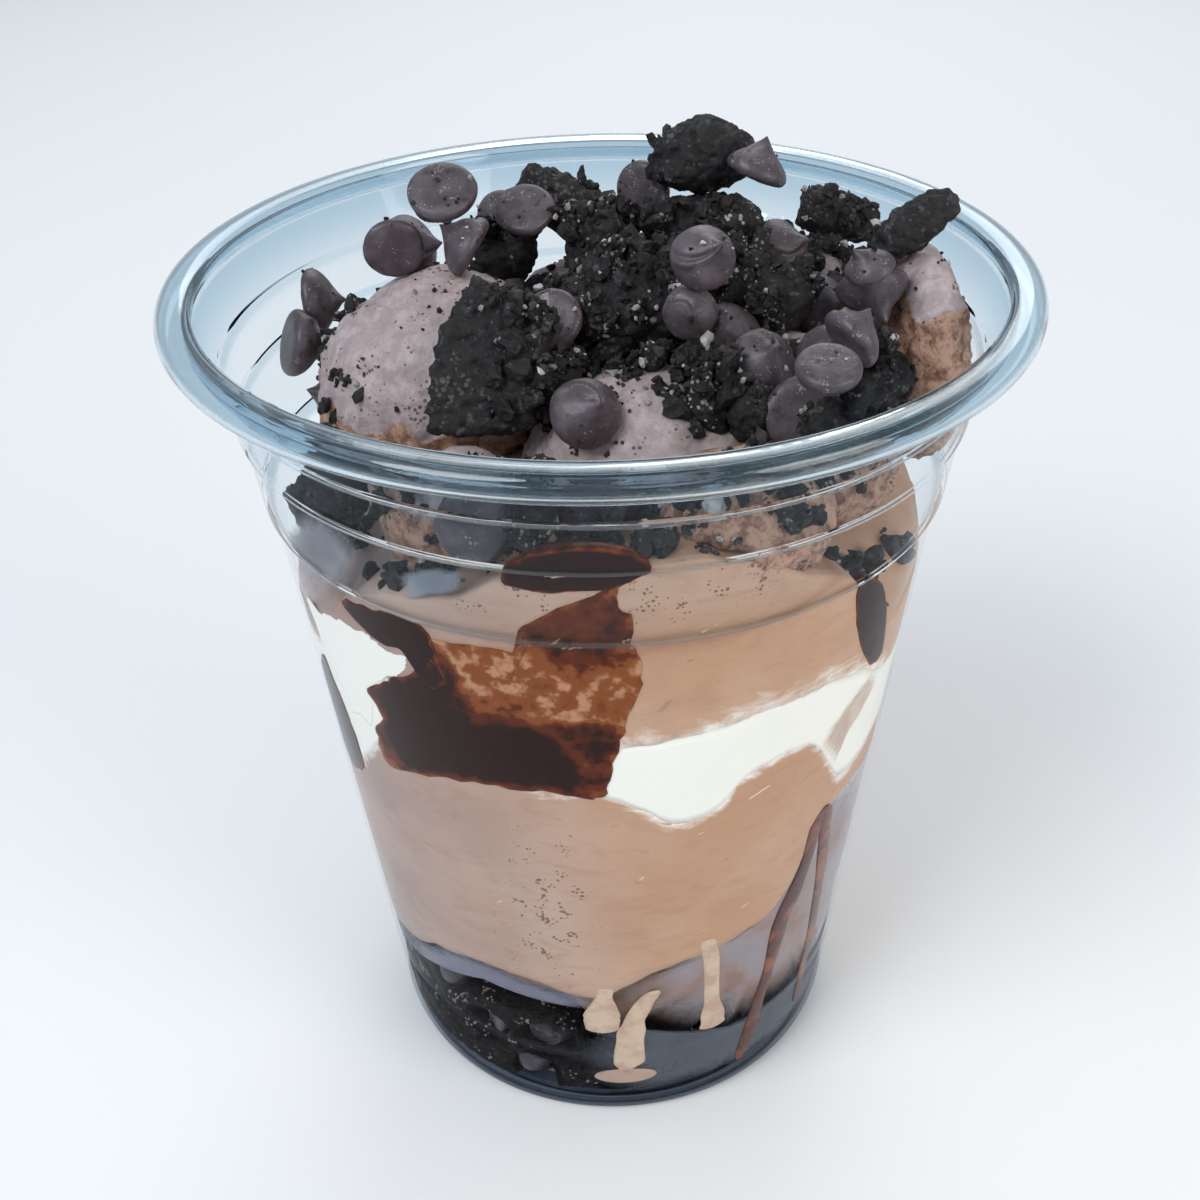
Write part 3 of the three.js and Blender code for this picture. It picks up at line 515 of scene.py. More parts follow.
def syrup_material():
    """A thin run of melted chocolate on the wall."""
    material, shader, place = new_material("syrup")
    base = shader.shade(shader.noise(place, 260.0, 3.0), 0.4, 0.7, srgb(72, 30, 18), srgb(134, 72, 42))
    surface(shader, base, 0.25, (shader.noise(place, 300.0), 0.0002, 0.3), Specular_IOR_Level=0.3)
    return material


def drip_material(name, colour, other):
    """Melted ice cream on the wall, and the pale marks on the ice cream, partly painted highlights."""
    material, shader, place = new_material(name)
    cloud = shader.noise(place, 330.0, 4.0, 0.6)
    surface(shader, shader.shade(cloud, 0.4, 0.65, colour, other), 0.4, (cloud, 0.0003, 0.5),
            Specular_IOR_Level=0.25)
    return material


def melt_material(name, colour, other, alpha):
    """A film of melted ice cream, a pocket of air or a dark sheet of painted shade, half clear and
    patchy.
    """
    material, shader, place = new_material(name)
    cloud = shader.noise(place, 150.0, 4.0, 0.6)
    patchy = shader.between(cloud, 0.3, 0.65, alpha - 0.25, alpha + 0.15)
    faded = shader.between(shader.attribute("thin"), 0.55, 1.0, 1.0, 0.0)
    surface(shader, shader.shade(cloud, 0.35, 0.7, colour, other), 0.35, (cloud, 0.0003, 0.4),
            Alpha=shader.math("MULTIPLY", patchy, faded))
    return material


def drop_material(name, colour, bloomed):
    """Chocolate drops with a dusty bloom, pale specks and dark grazes."""
    material, shader, place = new_material(name)
    bloom = shader.between(shader.noise(place, 420.0, 4.0, 0.6), 0.38, 0.68)
    dusty = shader.blend(shader.math("MULTIPLY", bloom, 0.6), colour, bloomed)
    specks = shader.specks(place, 2900.0, 0.42)
    dotted = shader.blend(shader.math("MULTIPLY", specks, 0.55), dusty, srgb(168, 158, 164))
    grime = shader.between(shader.noise(place, 800.0, 3.0), 0.6, 0.72)
    base = shader.blend(shader.math("MULTIPLY", grime, 0.6), dotted, srgb(34, 26, 28))
    relief = shader.math("ADD", shader.noise(place, 1400.0, 4.0), shader.math("MULTIPLY", specks, 0.4))
    surface(shader, base, 0.42, (relief, 0.00015, 0.5))
    return material


def cookie_material(name="chocolate_cookie", gloss=0.5, light=srgb(84, 78, 80)):
    """Black chocolate cookie, matt and granular, with painted shade in its hollows, patches of painted
    highlight, and a little grey filling in its pores.
    """
    material, shader, place = new_material(name)
    grain = shader.grain(place, 1500.0)
    # Painted shade: the cookie is nearly black in the hollows of its grain.
    base = shader.blend(grain["Shade"], srgb(14, 11, 12), bpy.context.scene.sundae_colours.cookie)
    # Painted highlights: patches of the light colour stand in for light caught on the cookie's relief.
    lit = shader.shade(shader.noise(place, 900.0, 5.0, 0.7), 0.54, 0.72, base, light)
    filling = shader.math("MULTIPLY", shader.specks(place, 1500.0, 0.5), shader.attribute("filling"))
    surface(shader, shader.blend(filling, lit, srgb(178, 168, 164)), 0.72,
            (grain["Height"], 0.0003, 0.9), Specular_IOR_Level=gloss)
    return material


def crumb_material(name, dark, light):
    material, shader, place = new_material(name)
    surface(shader, shader.shade(shader.noise(place, 500.0, 3.0), 0.4, 0.65, dark, light), 0.8,
            (shader.grain(place, 2600.0)["Height"], 0.0002, 0.7))
    return material


# Making pieces
def finish_piece(name, bm, material, replaces=()):
    """Turns a bmesh in millimetres into a smooth piece in metres that rides on the cup."""
    bmesh.ops.scale(bm, vec=(MM, MM, MM), verts=bm.verts)
    mesh = bpy.data.meshes.new(name)
    bm.to_mesh(mesh)
    bm.free()
    mesh.shade_smooth()
    return place_piece(name, mesh, material, replaces)


def place_piece(name, mesh, material, replaces=()):
    mesh.materials.append(material)
    piece = bpy.data.objects.new(name, mesh)
    bpy.context.scene.collection.objects.link(piece)
    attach(piece, "root")
    if replaces:
        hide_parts(*replaces)
    return piece


def spun(profile, steps):
    """A bmesh of a profile of (radius, height) points turned once round Z."""
    bm = bmesh.new()
    verts = [bm.verts.new((radius, 0, z)) for radius, z in profile]
    edges = [bm.edges.new(pair) for pair in zip(verts, verts[1:])]
    bmesh.ops.spin(bm, geom=verts + edges, cent=(0, 0, 0), axis=(0, 0, 1), dvec=(0, 0, 0),
                   angle=math.tau, steps=steps, use_merge=True, use_duplicate=False)
    bmesh.ops.remove_doubles(bm, verts=bm.verts, dist=1e-5)
    bmesh.ops.recalc_face_normals(bm, faces=bm.faces)
    return bm


def node_copy(name):
    """A merged copy, in millimetres, of a node of the frame."""
    bm = bmesh.new()
    bm.from_mesh(frame["nodes"][name].data)
    bmesh.ops.remove_doubles(bm, verts=bm.verts, dist=2e-6)
    bmesh.ops.scale(bm, vec=(1 / MM, 1 / MM, 1 / MM), verts=bm.verts)
    return bm


def remeshed(bm, voxel):
    """The same solid as an even net of small faces."""
    mesh = bpy.data.meshes.new("remesh")
    bm.to_mesh(mesh)
    bm.free()
    holder = bpy.data.objects.new("remesh", mesh)
    bpy.context.scene.collection.objects.link(holder)
    modifier = holder.modifiers.new("Remesh", "REMESH")
    modifier.mode = "VOXEL"
    modifier.voxel_size = voxel
    result = bpy.data.meshes.new_from_object(
        holder.evaluated_get(bpy.context.evaluated_depsgraph_get()))
    bpy.data.objects.remove(holder)
    bpy.data.meshes.remove(mesh)
    fine = bmesh.new()
    fine.from_mesh(result)
    bpy.data.meshes.remove(result)
    return fine


def push_along_normals(bm, amount):
    """Moves each vertex along its normal by amount(place, normal)."""
    bm.normal_update()
    moves = [vert.normal * amount(vert.co, vert.normal) for vert in bm.verts]
    for vert, move in zip(bm.verts, moves):
        vert.co += move


def grains(place, size):
    """Rounded grains of a size: 0.5 at their tops, falling to below 0 between them."""
    return 0.5 - noise.voronoi(place / size)[0][0]


def set_attribute(piece, name, values):
    attribute = piece.data.attributes.new(name, "FLOAT", "POINT")
    attribute.data.foreach_set("value", values)


def on_wall(azimuth, z, inset):
    """A point at a distance inside the wall's inner face."""
    turn = math.radians(azimuth)
    radius = inner_radius(z) - inset
    return Vector((radius * math.cos(turn), radius * math.sin(turn), z))


# The cup
def cup_profile(sizes):
    """One face of the cup's skin: its outside up to the flange, and then the inside of the curl.

    The points are radius and height. The skin lies to the left of them, by the wall's thickness.
    """
    half = GROOVE_DEPTH * 1.7
    rim = (sizes.rim_radius - sizes.wall) / MM
    top = (sizes.cup_height - sizes.wall) / MM
    foot = [(0, FLOOR_HEIGHT), (FOOT_INNER_RADIUS - 2, FLOOR_HEIGHT),
            (FOOT_INNER_RADIUS - 0.7, FLOOR_HEIGHT - 0.8), (FOOT_INNER_RADIUS, 0), (FOOT_RADIUS, 0),
            (FOOT_RADIUS + 1.2, 0.6), (taper_radius(2.4), 2.4)]
    groove = [(taper_radius(GROOVE_HEIGHT - half), GROOVE_HEIGHT - half),
              (taper_radius(GROOVE_HEIGHT) - GROOVE_DEPTH, GROOVE_HEIGHT),
              (taper_radius(GROOVE_HEIGHT + half), GROOVE_HEIGHT + half)]
    wall = [(taper_radius(SHOULDER_HEIGHT), SHOULDER_HEIGHT), *[(radius, z) for z, radius in SHOULDER]]
    flange = [(rim - 2.9, top - 0.25), (rim - 2.5, top)]
    curl = [(rim + CURL_RADIUS * (math.cos(turn) - 1), top + CURL_RADIUS * (math.sin(turn) - 1))
            for turn in np.linspace(math.radians(90), math.radians(-200), 15)]
    return [*foot, *groove, *wall, *flange, *curl]


class SUNDAE_OT_cup(bpy.types.Operator):
    """Spins the clear cup with its foot, steps and rolled rim"""

    bl_idname = "sundae.cup"
    bl_label = "Clear Cup"

    def execute(self, context):
        sizes = context.scene.sundae_sizes
        steps = 144
        bm = spun(cup_profile(sizes), steps)
        wall_face = max(bm.faces, key=lambda face: face.calc_area())
        centre = wall_face.calc_center_median()
        if wall_face.normal.dot(Vector((centre.x, centre.y, 0))) < 0:
            bmesh.ops.reverse_faces(bm, faces=bm.faces)
        below_rim = sizes.cup_height / MM - 3
        sharp = [edge for edge in bm.edges if len(edge.link_faces) == 2
                 and 0.12 < edge.calc_face_angle() < 2 and edge.verts[0].co.z < below_rim
                 and abs(edge.verts[0].co.z - edge.verts[1].co.z) < 1e-4]
        bmesh.ops.bevel(bm, geom=sharp, offset=0.22, offset_type="OFFSET", segments=2, profile=0.5,
                        affect="EDGES", material=-1)
        bmesh.ops.solidify(bm, geom=bm.faces[:], thickness=sizes.wall / MM)
        bmesh.ops.recalc_face_normals(bm, faces=bm.faces)
        wet, dry, rim, foot = range(4)
        for face in bm.faces:
            z = face.calc_center_median().z
            if z < FOOT_HEIGHT:
                face.material_index = foot
            elif z > RIM_HEIGHT or any(low < z < high for low, high in STEPS):
                face.material_index = rim
            elif z > SHOULDER_HEIGHT or abs(z - GROOVE_HEIGHT) < GROOVE_DEPTH * 1.8:
                face.material_index = dry
            else:
                face.material_index = wet
        material = clear_plastic("wet_plastic", (0.985, 0.99, 0.995, 1), 0.001, 0.35)
        cup = finish_piece("clear_cup", bm, material, ["cup"])
        for material in (clear_plastic("dry_plastic", (0.935, 0.955, 0.97, 1), 0.015, 0.6),
                         rim_material(),
                         clear_plastic("foot_plastic", (0.52, 0.55, 0.6, 1), 0.02, 0.5)):
            cup.data.materials.append(material)
        return {"FINISHED"}


# Layers
def layer_bmesh(bottom_at, top_at, rows=24, steps=240):
    """A layer between two heights, which are functions of azimuth and of the share of the radius."""
    shares = [0, 0.25, 0.45, 0.6, 0.7, 0.78, 0.84, 0.89, 0.93, 0.965, 1]
    profile = [*[(share, 0) for share in shares], *[(1, row / rows) for row in range(1, rows)],
               *[(share, 1) for share in reversed(shares)]]
    bm = spun(profile, steps)
    for vert in bm.verts:
        share = min(math.hypot(vert.co.x, vert.co.y), 1)
        azimuth = math.degrees(math.atan2(vert.co.y, vert.co.x))
        z = mix(bottom_at(azimuth, share), top_at(azimuth, share), vert.co.z)
        radius = share * (inner_radius(z) + INTO_WALL)
        turn = math.radians(azimuth)
        vert.co = (radius * math.cos(turn), radius * math.sin(turn), z)
    bmesh.ops.recalc_face_normals(bm, faces=bm.faces)
    return bm


# Height of a crease round the upper ice cream, along which painted shade darkens it.
CREASE = around([
    (0, 84), (90, 80), (180, 78), (275, 82.6), (286, 83), (300, 85), (315, 88.5)])


def spot(azimuth, z, middle_azimuth, middle_z, width, height):
    """1 in the middle of a soft spot on the wall, and towards 0 outside it."""
    across = (azimuth % 360 - middle_azimuth) / width
    return math.exp(-across ** 2 - ((z - middle_z) / height) ** 2)


def paint(layer, name, value_at):
    """Sets an attribute of a layer from value_at(azimuth, share of the radius, height)."""
    values = []
    for vert in layer.data.vertices:
        x, y, z = vert.co / MM
        share = math.hypot(x, y) / (inner_radius(z) + INTO_WALL)
        values.append(value_at(math.degrees(math.atan2(y, x)), share, z))
    set_attribute(layer, name, values)


class SUNDAE_OT_layers(bpy.types.Operator):
    """Fills the cup with the chocolate ice cream and the cream between"""

    bl_idname = "sundae.layers"
    bl_label = "Ice Cream Layers"

    def execute(self, context):
        chocolate = ice_cream_material()
        lower = finish_piece("lower_ice_cream", layer_bmesh(lower_bottom, cream_low), chocolate,
                             ["ice_cream_lower"])
        cream = finish_piece("white_cream", layer_bmesh(cream_low, cream_high, rows=12),
                             cream_material(), ["cream_layer"])
        upper_bm = layer_bmesh(cream_high, upper_top)
        push_along_normals(upper_bm, lambda place, normal: (
            0.5 * noise.noise(place / 3.5) * smooth(normal.z, 0.2, 0.8)))
        upper = finish_piece("upper_ice_cream", upper_bm, chocolate, ["ice_cream_upper"])

        paint(lower, "creamy", lambda azimuth, share, z: (
            1 - clamp((cream_low(azimuth, share) - z) / 5)))
        paint(lower, "pinholes", lambda azimuth, share, z: spot(azimuth, z, 257, 40, 11, 14))
        paint(upper, "creamy", lambda azimuth, share, z: (
            1 - clamp((z - cream_high(azimuth, share)) / 9)))
        paint(upper, "pinholes", lambda azimuth, share, z: (
            0.7 * smooth(z, 84, 90) * smooth(share, 0.97, 1)))
        # Where the painted shade of the crease lies.
        paint(upper, "crease", lambda azimuth, share, z: (
            math.exp(-((z - CREASE(azimuth % 360)) / 0.7) ** 2)))
        paint(cream, "meeting", lambda azimuth, share, z: (
            1 - clamp(min((z - cream_low(azimuth, share)) / 2, (cream_high(azimuth, share) - z) / 4))
            + 1.3 * spot(azimuth, z, 286.3, 60.4, 3, 0.9)))
        return {"FINISHED"}


# Fudge, drips and film on the wall
def closed_curve(points):
    """A smooth closed curve through points, for shares from 0 to 1."""
    count = len(points)

    def value(share):
        place = (share % 1) * count
        i = int(place)
        t = place - i
        p0, p1, p2, p3 = (Vector(points[(i + k) % count]) for k in (-1, 0, 1, 2))
        return 0.5 * (2 * p1 + (p2 - p0) * t + (2 * p0 - 5 * p1 + 4 * p2 - p3) * t * t
                      + (3 * p1 - p0 - 3 * p2 + p3) * t ** 3)

    return value


def wall_pad(outline, depth, proud=IN_FRONT, edge_depth=0.3, ragged=0.0, steps=128):
    """A pad on the inside of the wall with an outline of (azimuth, height) points.

    Returns its bmesh and, for each vertex, how near it is to the outline, from 0 to 1.
    """
    shares = [0, *[(i / 15) ** 0.8 for i in range(1, 15)], 0.98, 1]
    profile = [*[(share, 0) for share in shares], *[(share, 1) for share in reversed(shares[:-1])]]
    bm = spun(profile, steps)
    edge_at = closed_curve(outline)
    middle = sum((Vector(point) for point in outline), Vector((0, 0))) / len(outline)
    thin = []
    for vert in bm.verts:
        share = min(math.hypot(vert.co.x, vert.co.y), 1)
        turn = (math.atan2(vert.co.y, vert.co.x) / math.tau) % 1
        edge = edge_at(turn)
        wobble = 1 + ragged * noise.fractal(Vector((edge.x / 4, edge.y / 4, len(outline))), 0.7, 2, 4)
        azimuth, z = middle.lerp(edge, share * wobble)
        thickness = mix(depth, edge_depth, share ** 2.5)
        vert.co = on_wall(azimuth, z, thickness * vert.co.z - INTO_WALL - proud)
        thin.append(share)
    bmesh.ops.recalc_face_normals(bm, faces=bm.faces)
    return bm, thin


END_REACH = 3.5         # the rounded end of a run takes up about 1 / 11 of its length


def wall_run(path, depth, steps=64):
    """A run down the wall through (azimuth, height, width) points, round at both ends."""
    bm = bmesh.new()
    bmesh.ops.create_uvsphere(bm, u_segments=14, v_segments=steps, radius=1)
    count = len(path) - 1
    for vert in bm.verts:
        along = math.acos(clamp(-vert.co.z, -1, 1)) / math.pi
        ring = max(math.hypot(vert.co.x, vert.co.y), 1e-6)
        i = min(int(along * count), count - 1)
        t = along * count - i
        azimuth, z = (mix(path[i][k], path[i + 1][k], t) for k in range(2))
        width = mix(path[i][2], path[i + 1][2], smooth(t, 0, 1))
        swell = 1 + 0.15 * noise.noise(Vector((along * 7, path[0][0], 3)))
        near_end = 1 - min(1, ring * END_REACH)
        cap = math.sqrt(1 - near_end ** 2)
        size = width / 2 * cap * swell
        turn = math.degrees(size * vert.co.x / ring / inner_radius(z))
        inset = depth * (0.5 - 0.5 * vert.co.y / ring) * cap - INTO_WALL - IN_FRONT
        vert.co = on_wall(azimuth + turn, z, inset)
    bmesh.ops.remove_doubles(bm, verts=bm.verts, dist=1e-4)
    bmesh.ops.recalc_face_normals(bm, faces=bm.faces)
    return bm


FUDGE_PADS = {
    "fudge_pocket": (7, [
        (223.8, 57.5), (223.8, 62.5), (227, 65.8), (225.5, 69.2), (230.8, 72.6), (237.5, 75.6),
        (242, 79), (242.5, 81.4), (250, 81.8), (257.8, 82.4), (257.7, 86), (264, 89), (270.6, 91.4),
        (271.8, 89.8), (273.8, 84.9), (274.8, 79), (272.7, 73.5), (272.4, 70.4), (270.2, 65.8),
        (269.7, 61.7), (264.6, 61.4), (254.5, 61.9), (243, 61), (233.3, 59)]),
    "fudge_pool": (5, [
        (255.7, 92), (259.8, 90.9), (265.2, 91), (271.9, 91.7), (276, 93.6), (274.4, 95.6),
        (269.4, 96.6), (264.3, 96.4), (259, 95.2)]),
    "fudge_blob": (6, [
        (312.6, 82.5), (314.1, 77.9), (317.9, 72.3), (322.9, 68.3), (326.5, 68.5), (325, 74.1),
        (321, 79.7), (316, 83)]),
    "fudge_strip": (3, [
        (207, 67), (210, 64.3), (213, 59.4), (214, 53), (208, 49.5), (200, 49), (196, 54), (200, 62)]),
}


WISP = [
    (222.9, 81.1), (227.9, 82.3), (231.5, 82.4), (236.3, 83.9), (240.3, 83), (242.5, 81), (243, 78),
    (243.8, 75.5), (240.7, 74.2), (238, 76), (235.7, 78.3), (232.2, 78), (227.9, 78.9)]

# Where the fudge lies thick: azimuth, height, half the width and height of each spot, and how thin
# it is at the spot's middle.
THICK_SPOTS = [
    (238, 66, 15, 10, 0), (253, 65, 14, 8, 0), (241, 74, 5, 6, 0.1), (265.5, 86, 9, 6.5, 0.34),
    (265.5, 64, 7, 6, 0.4), (264, 70, 11, 2.6, 0.3)]


def pocket_thinness(azimuth, z):
    return min(mix(spot[4], 0.95, smooth(math.hypot((azimuth - spot[0]) / spot[2],
                                                    (z - spot[1]) / spot[3]), 0.6, 1.35))
               for spot in THICK_SPOTS)


class SUNDAE_OT_fudge(bpy.types.Operator):
    """Lays the fudge against the inside of the wall"""

    bl_idname = "sundae.fudge"
    bl_label = "Fudge"

    def execute(self, context):
        material = fudge_material()
        pads = [(name, depth, outline, [name]) for name, (depth, outline) in FUDGE_PADS.items()]
        for name, depth, outline, nodes in [*pads, ("fudge_wisp", 1.4, WISP, [])]:
            bm, near_edge = wall_pad(outline, depth, edge_depth=1.2, ragged=0.06)
            thin = []
            for vert, share in zip(bm.verts, near_edge):
                azimuth = math.degrees(math.atan2(vert.co.y, vert.co.x)) % 360
                spread = pocket_thinness(azimuth, vert.co.z) if name == "fudge_pocket" else 0
                thin.append(max(spread, 0.45 * smooth(share, 0.85, 1)))
            piece = finish_piece(name + "_look", bm, material, nodes)
            set_attribute(piece, "thin", thin)
        return {"FINISHED"}


# Short pale marks on the ice cream at the wall, partly chips and creases and partly painted highlights:
# azimuth, height, length, slope and width.
CHIPS_AND_HIGHLIGHTS = [
    (285.2, 85.2, 2.4, 0.5, 0.5), (278.7, 74.6, 1.2, 1.2, 0.8), (297.5, 57.8, 2.6, 0.4, 0.9),
    (286.5, 53.8, 0.9, 0.2, 0.6), (279, 56.6, 1.6, -0.5, 1), (276, 52.2, 1.4, 0.4, 1.1),
    (277, 70.2, 0.6, 0.2, 0.5), (270.7, 56.7, 1, 0.1, 0.5), (291.8, 47.9, 0.8, 0.6, 0.5),
    (297.8, 38.1, 1, 0.5, 0.5), (288.3, 36, 1.2, 0.2, 0.4), (275.2, 47.3, 0.8, 1.4, 0.6),
    (282.4, 80.5, 0.7, 0.3, 0.4), (261.1, 57.5, 1.3, -0.2, 0.4), (247, 41, 0.8, 0.8, 0.4)]


# Runs down the wall: azimuth, height and width at each of their points, from the top down.
DRIPS = {
    "drip_short": [
        (267.9, 27, 2.2), (267.6, 25, 2.4), (267, 21.2, 4.6), (267, 19.8, 4.8), (267, 17.6, 4.2)],
    "drip_long": [
        (279, 26, 2.4), (276.5, 23.5, 2.6), (274.3, 20, 2.8), (273.5, 17, 3.8), (273.2, 13.6, 4),
        (273.2, 11, 4.2), (272.2, 9, 1.6), (272.3, 7.6, 1.2)],
    "drip_right": [
        (289.8, 34, 2.6), (291.3, 29.5, 2.2), (292.3, 22, 2.2), (293.3, 17, 3.6), (293.4, 14.9, 3.8)],
}
DRIZZLES = {
    "drizzle_left": [
        (317.2, 48.4, 2.4), (315, 46, 2.8), (314.2, 39.7, 3), (311, 33.5, 3.6), (309.2, 30.5, 3.4),
        (308.2, 22.1, 2.2), (306.5, 16, 2.2), (305.4, 10.5, 3), (303.5, 6, 2.2), (303, 4.2, 1.6)],
    "drizzle_right": [
        (317.4, 48.2, 2.4), (318.8, 44.5, 2.8), (321.8, 34.6, 2.6), (324.2, 21.9, 2.4),
        (324, 11.3, 2.2), (324, 7, 1.8)],
}

# Films and smears on the wall: two colours and a cover for melt_material, or None for cream, by how
# much each lies outside the wall's inner face, and its outline of azimuths and heights.
FILMS = {
    "melt_band": ((srgb(130, 132, 152), srgb(100, 98, 114), 0.85), AHEAD, [
        (210, 21), (219, 23.5), (227, 26), (236, 27.3), (244, 27.8), (252, 27), (260, 26), (267, 25),
        (267, 22.6), (260, 23), (252, 23.6), (244, 24.2), (236, 23.6), (228, 22), (219, 19.5),
        (211, 18)]),
    "melt_veil": ((srgb(164, 156, 162), srgb(132, 100, 86), 0.88), BEHIND, [
        (268, 25.5), (276, 29), (283, 31), (290, 31.5), (299, 33.5), (307, 37), (303, 46), (305, 52),
        (316, 51.5), (327, 51), (338, 50), (346, 40), (345, 25), (338, 15), (322, 14.5), (305, 14),
        (290, 16), (276, 19)]),
    # Painted shade: a dark blue-grey sheet low on the wall at the front right, standing in for the
    # shade at the bottom of the cup.
    "melt_dregs": ((srgb(84, 90, 102), srgb(48, 50, 58), 0.85), BEHIND, [
        (262, 20), (272, 19), (284, 16.5), (300, 14), (318, 14), (335, 15), (348, 14), (352, 9),
        (345, 4.2), (325, 3.8), (300, 3.8), (280, 3.8), (266, 4.2), (261, 10)]),
    "air_pocket": ((srgb(150, 160, 172), srgb(118, 122, 132), 0.6), AHEAD, [
        (239, 89.6), (241.9, 91), (247, 92.2), (250.3, 92.3), (250.5, 90.5), (248.6, 89.3),
        (244.3, 87.9), (240.6, 86.6), (239.6, 87.8)]),
    "milky_smear": ((srgb(160, 160, 168), srgb(110, 108, 116), 0.6), AHEAD, [
        (213, 88), (220, 92), (228, 95), (233, 92), (230, 87), (225, 83.5), (218, 81), (211, 79),
        (207, 82)]),
    "cream_smear": (None, AHEAD, [
        (207.3, 75.3), (213, 75.6), (218.6, 77.6), (226.6, 77.8), (232, 77), (236.5, 77), (234.2, 74.1),
        (230.4, 72.8), (226, 69.3), (223, 64), (217, 62.5), (212, 66), (208, 70.5)]),
    "ice_cream_streak": ((srgb(190, 156, 132), srgb(220, 200, 184), 0.65), AHEAD, [
        (311, 60), (314, 63.6), (319.7, 65.7), (325, 67), (328.5, 63.6), (325, 61.3), (319.6, 58.8),
        (316.5, 55.3)]),
}


class SUNDAE_OT_melt(bpy.types.Operator):
    """Runs syrup, melted ice cream and a milky film down the wall"""

    bl_idname = "sundae.melt"
    bl_label = "Drips and Film"

    def execute(self, context):
        melted = drip_material("melted_ice_cream", srgb(206, 182, 158), srgb(188, 156, 136))
        for runs, material, slot in ((DRIPS, melted, "ice_cream"),
                                     (DRIZZLES, syrup_material(), "fudge")):
            for name, path in runs.items():
                finish_piece(name, wall_run(path, 0.3), material)
        oval = [(272.3 + 7.6 * math.cos(turn), 7.9 + 1.5 * math.sin(turn))
                for turn in np.linspace(0, math.tau, 10, endpoint=False)]
        pool = drip_material("melted_pool", srgb(180, 152, 138), srgb(160, 132, 120))
        finish_piece("drip_oval", wall_pad(oval, 0.35, edge_depth=0.2)[0], pool)
        for name, (look, proud, outline) in FILMS.items():
            bm, near_edge = wall_pad(outline, 0.35, proud=proud, edge_depth=0.05, ragged=0.15)
            material = melt_material(name, *look) if look else bpy.data.materials["white_cream"]
            set_attribute(finish_piece(name, bm, material), "thin", near_edge)

        # Painted highlights: pale marks where small highlights shine on the ice cream, mixed with real
        # chips and creases.
        marks = bmesh.new()
        for azimuth, z, length, slope, width in CHIPS_AND_HIGHLIGHTS:
            turn = math.degrees(length / inner_radius(z))
            path = [(azimuth + turn * k, z + length * slope * k, width) for k in (-0.5, -0.2, 0.2, 0.5)]
            add_to(marks, wall_run(path, 0.5, steps=16))
        finish_piece("pull_marks", marks, drip_material("pull_marks", srgb(226, 192, 164),
                                                        srgb(168, 132, 114)))
        return {"FINISHED"}


# Scoops
class SUNDAE_OT_scoops(bpy.types.Operator):
    """Roughens the scoops, torn below and frosted on top"""

    bl_idname = "sundae.scoops"
    bl_label = "Scoops"

    def execute(self, context):
        material = scoop_material()
        torn_below = {"scoop_left": 95, "scoop_mound": 92, "scoop_slab": 105, "scoop_front_left": 95,
                      "scoop_front_right": 101}
        for name, height in torn_below.items():
            bm = remeshed(node_copy(name), 0.4)
            bmesh.ops.smooth_vert(bm, verts=bm.verts, factor=0.5, use_axis_x=True, use_axis_y=True,
                                  use_axis_z=True)

            def torn_at(place):
                return smooth(height + 4 * noise.noise(place / 5) - place.z, -1.5, 3)

            def relief(place, normal):
                broad = 0.8 * noise.noise(place / 4.5) + 0.35
                ridges = 0.3 * abs(noise.noise(Vector((place.x / 2.2, place.y / 2.2, place.z / 1.1))))
                fine = noise.fractal(place / 1.2, 0.8, 2.1, 3) * mix(0.16, 0.36, torn_at(place))
                return broad - ridges + fine

            push_along_normals(bm, relief)
            torn = [torn_at(vert.co) for vert in bm.verts]
            piece = finish_piece(name + "_look", bm, material, [name])
            set_attribute(piece, "torn", torn)
        return {"FINISHED"}


# Chocolate drops
DROP_PROFILE = [
    (0, 0), (0.3, 0), (0.42, 0.015), (0.475, 0.05), (0.5, 0.11), (0.495, 0.17), (0.465, 0.24),
    (0.41, 0.31), (0.335, 0.38), (0.255, 0.445), (0.18, 0.51), (0.115, 0.575), (0.065, 0.635),
    (0.03, 0.68), (0, 0.7)]
DROP_MIDDLE = 0.3
DROP_SPAN = 0.72


def drop_bmesh(size, seed):
    """A chocolate drop with a curled tip and a fold that winds up to it, its tip towards +Z."""
    chance = random.Random(seed)
    bm = spun(DROP_PROFILE, 40)
    bmesh.ops.subdivide_edges(bm, edges=bm.edges[:], cuts=1, use_grid_fill=True, smooth=0.6)
    curl = chance.uniform(0, math.tau)
    lean = chance.uniform(0.05, 0.2)
    fold = chance.uniform(0, math.tau)
    winding = chance.choice((-1, 1)) * chance.uniform(2.5, 4.5)
    squash = chance.uniform(0.86, 1.0)
    for vert in bm.verts:
        x, y, z = vert.co
        radius = math.hypot(x, y)
        angle = math.atan2(y, x)
        offset = (angle - fold - winding * (0.5 - radius) + math.pi) % math.tau - math.pi
        groove = math.exp(-(offset * max(radius, 0.06) / 0.035) ** 2)
        groove *= smooth(z, 0.12, 0.3) * smooth(radius, 0.0, 0.1) * 0.045
        lip = math.exp(-((offset - 0.35) * max(radius, 0.06) / 0.06) ** 2) * smooth(z, 0.12, 0.3) * 0.03
        bend = lean * smooth(z, 0.3, DROP_SPAN) ** 1.5
        tilt = 1 + 0.05 * noise.noise(Vector((x * 2, y * 2, seed)))
        scale = (1 - groove / 0.5 + lip / 0.5) * tilt
        vert.co = (x * scale + bend * math.cos(curl), y * scale + bend * math.sin(curl),
                   (z - groove + lip) * squash - DROP_MIDDLE * squash)
        vert.co *= size
    push_along_normals(bm, lambda place, normal: 0.05 * noise.noise(place / 0.8))
    return bm


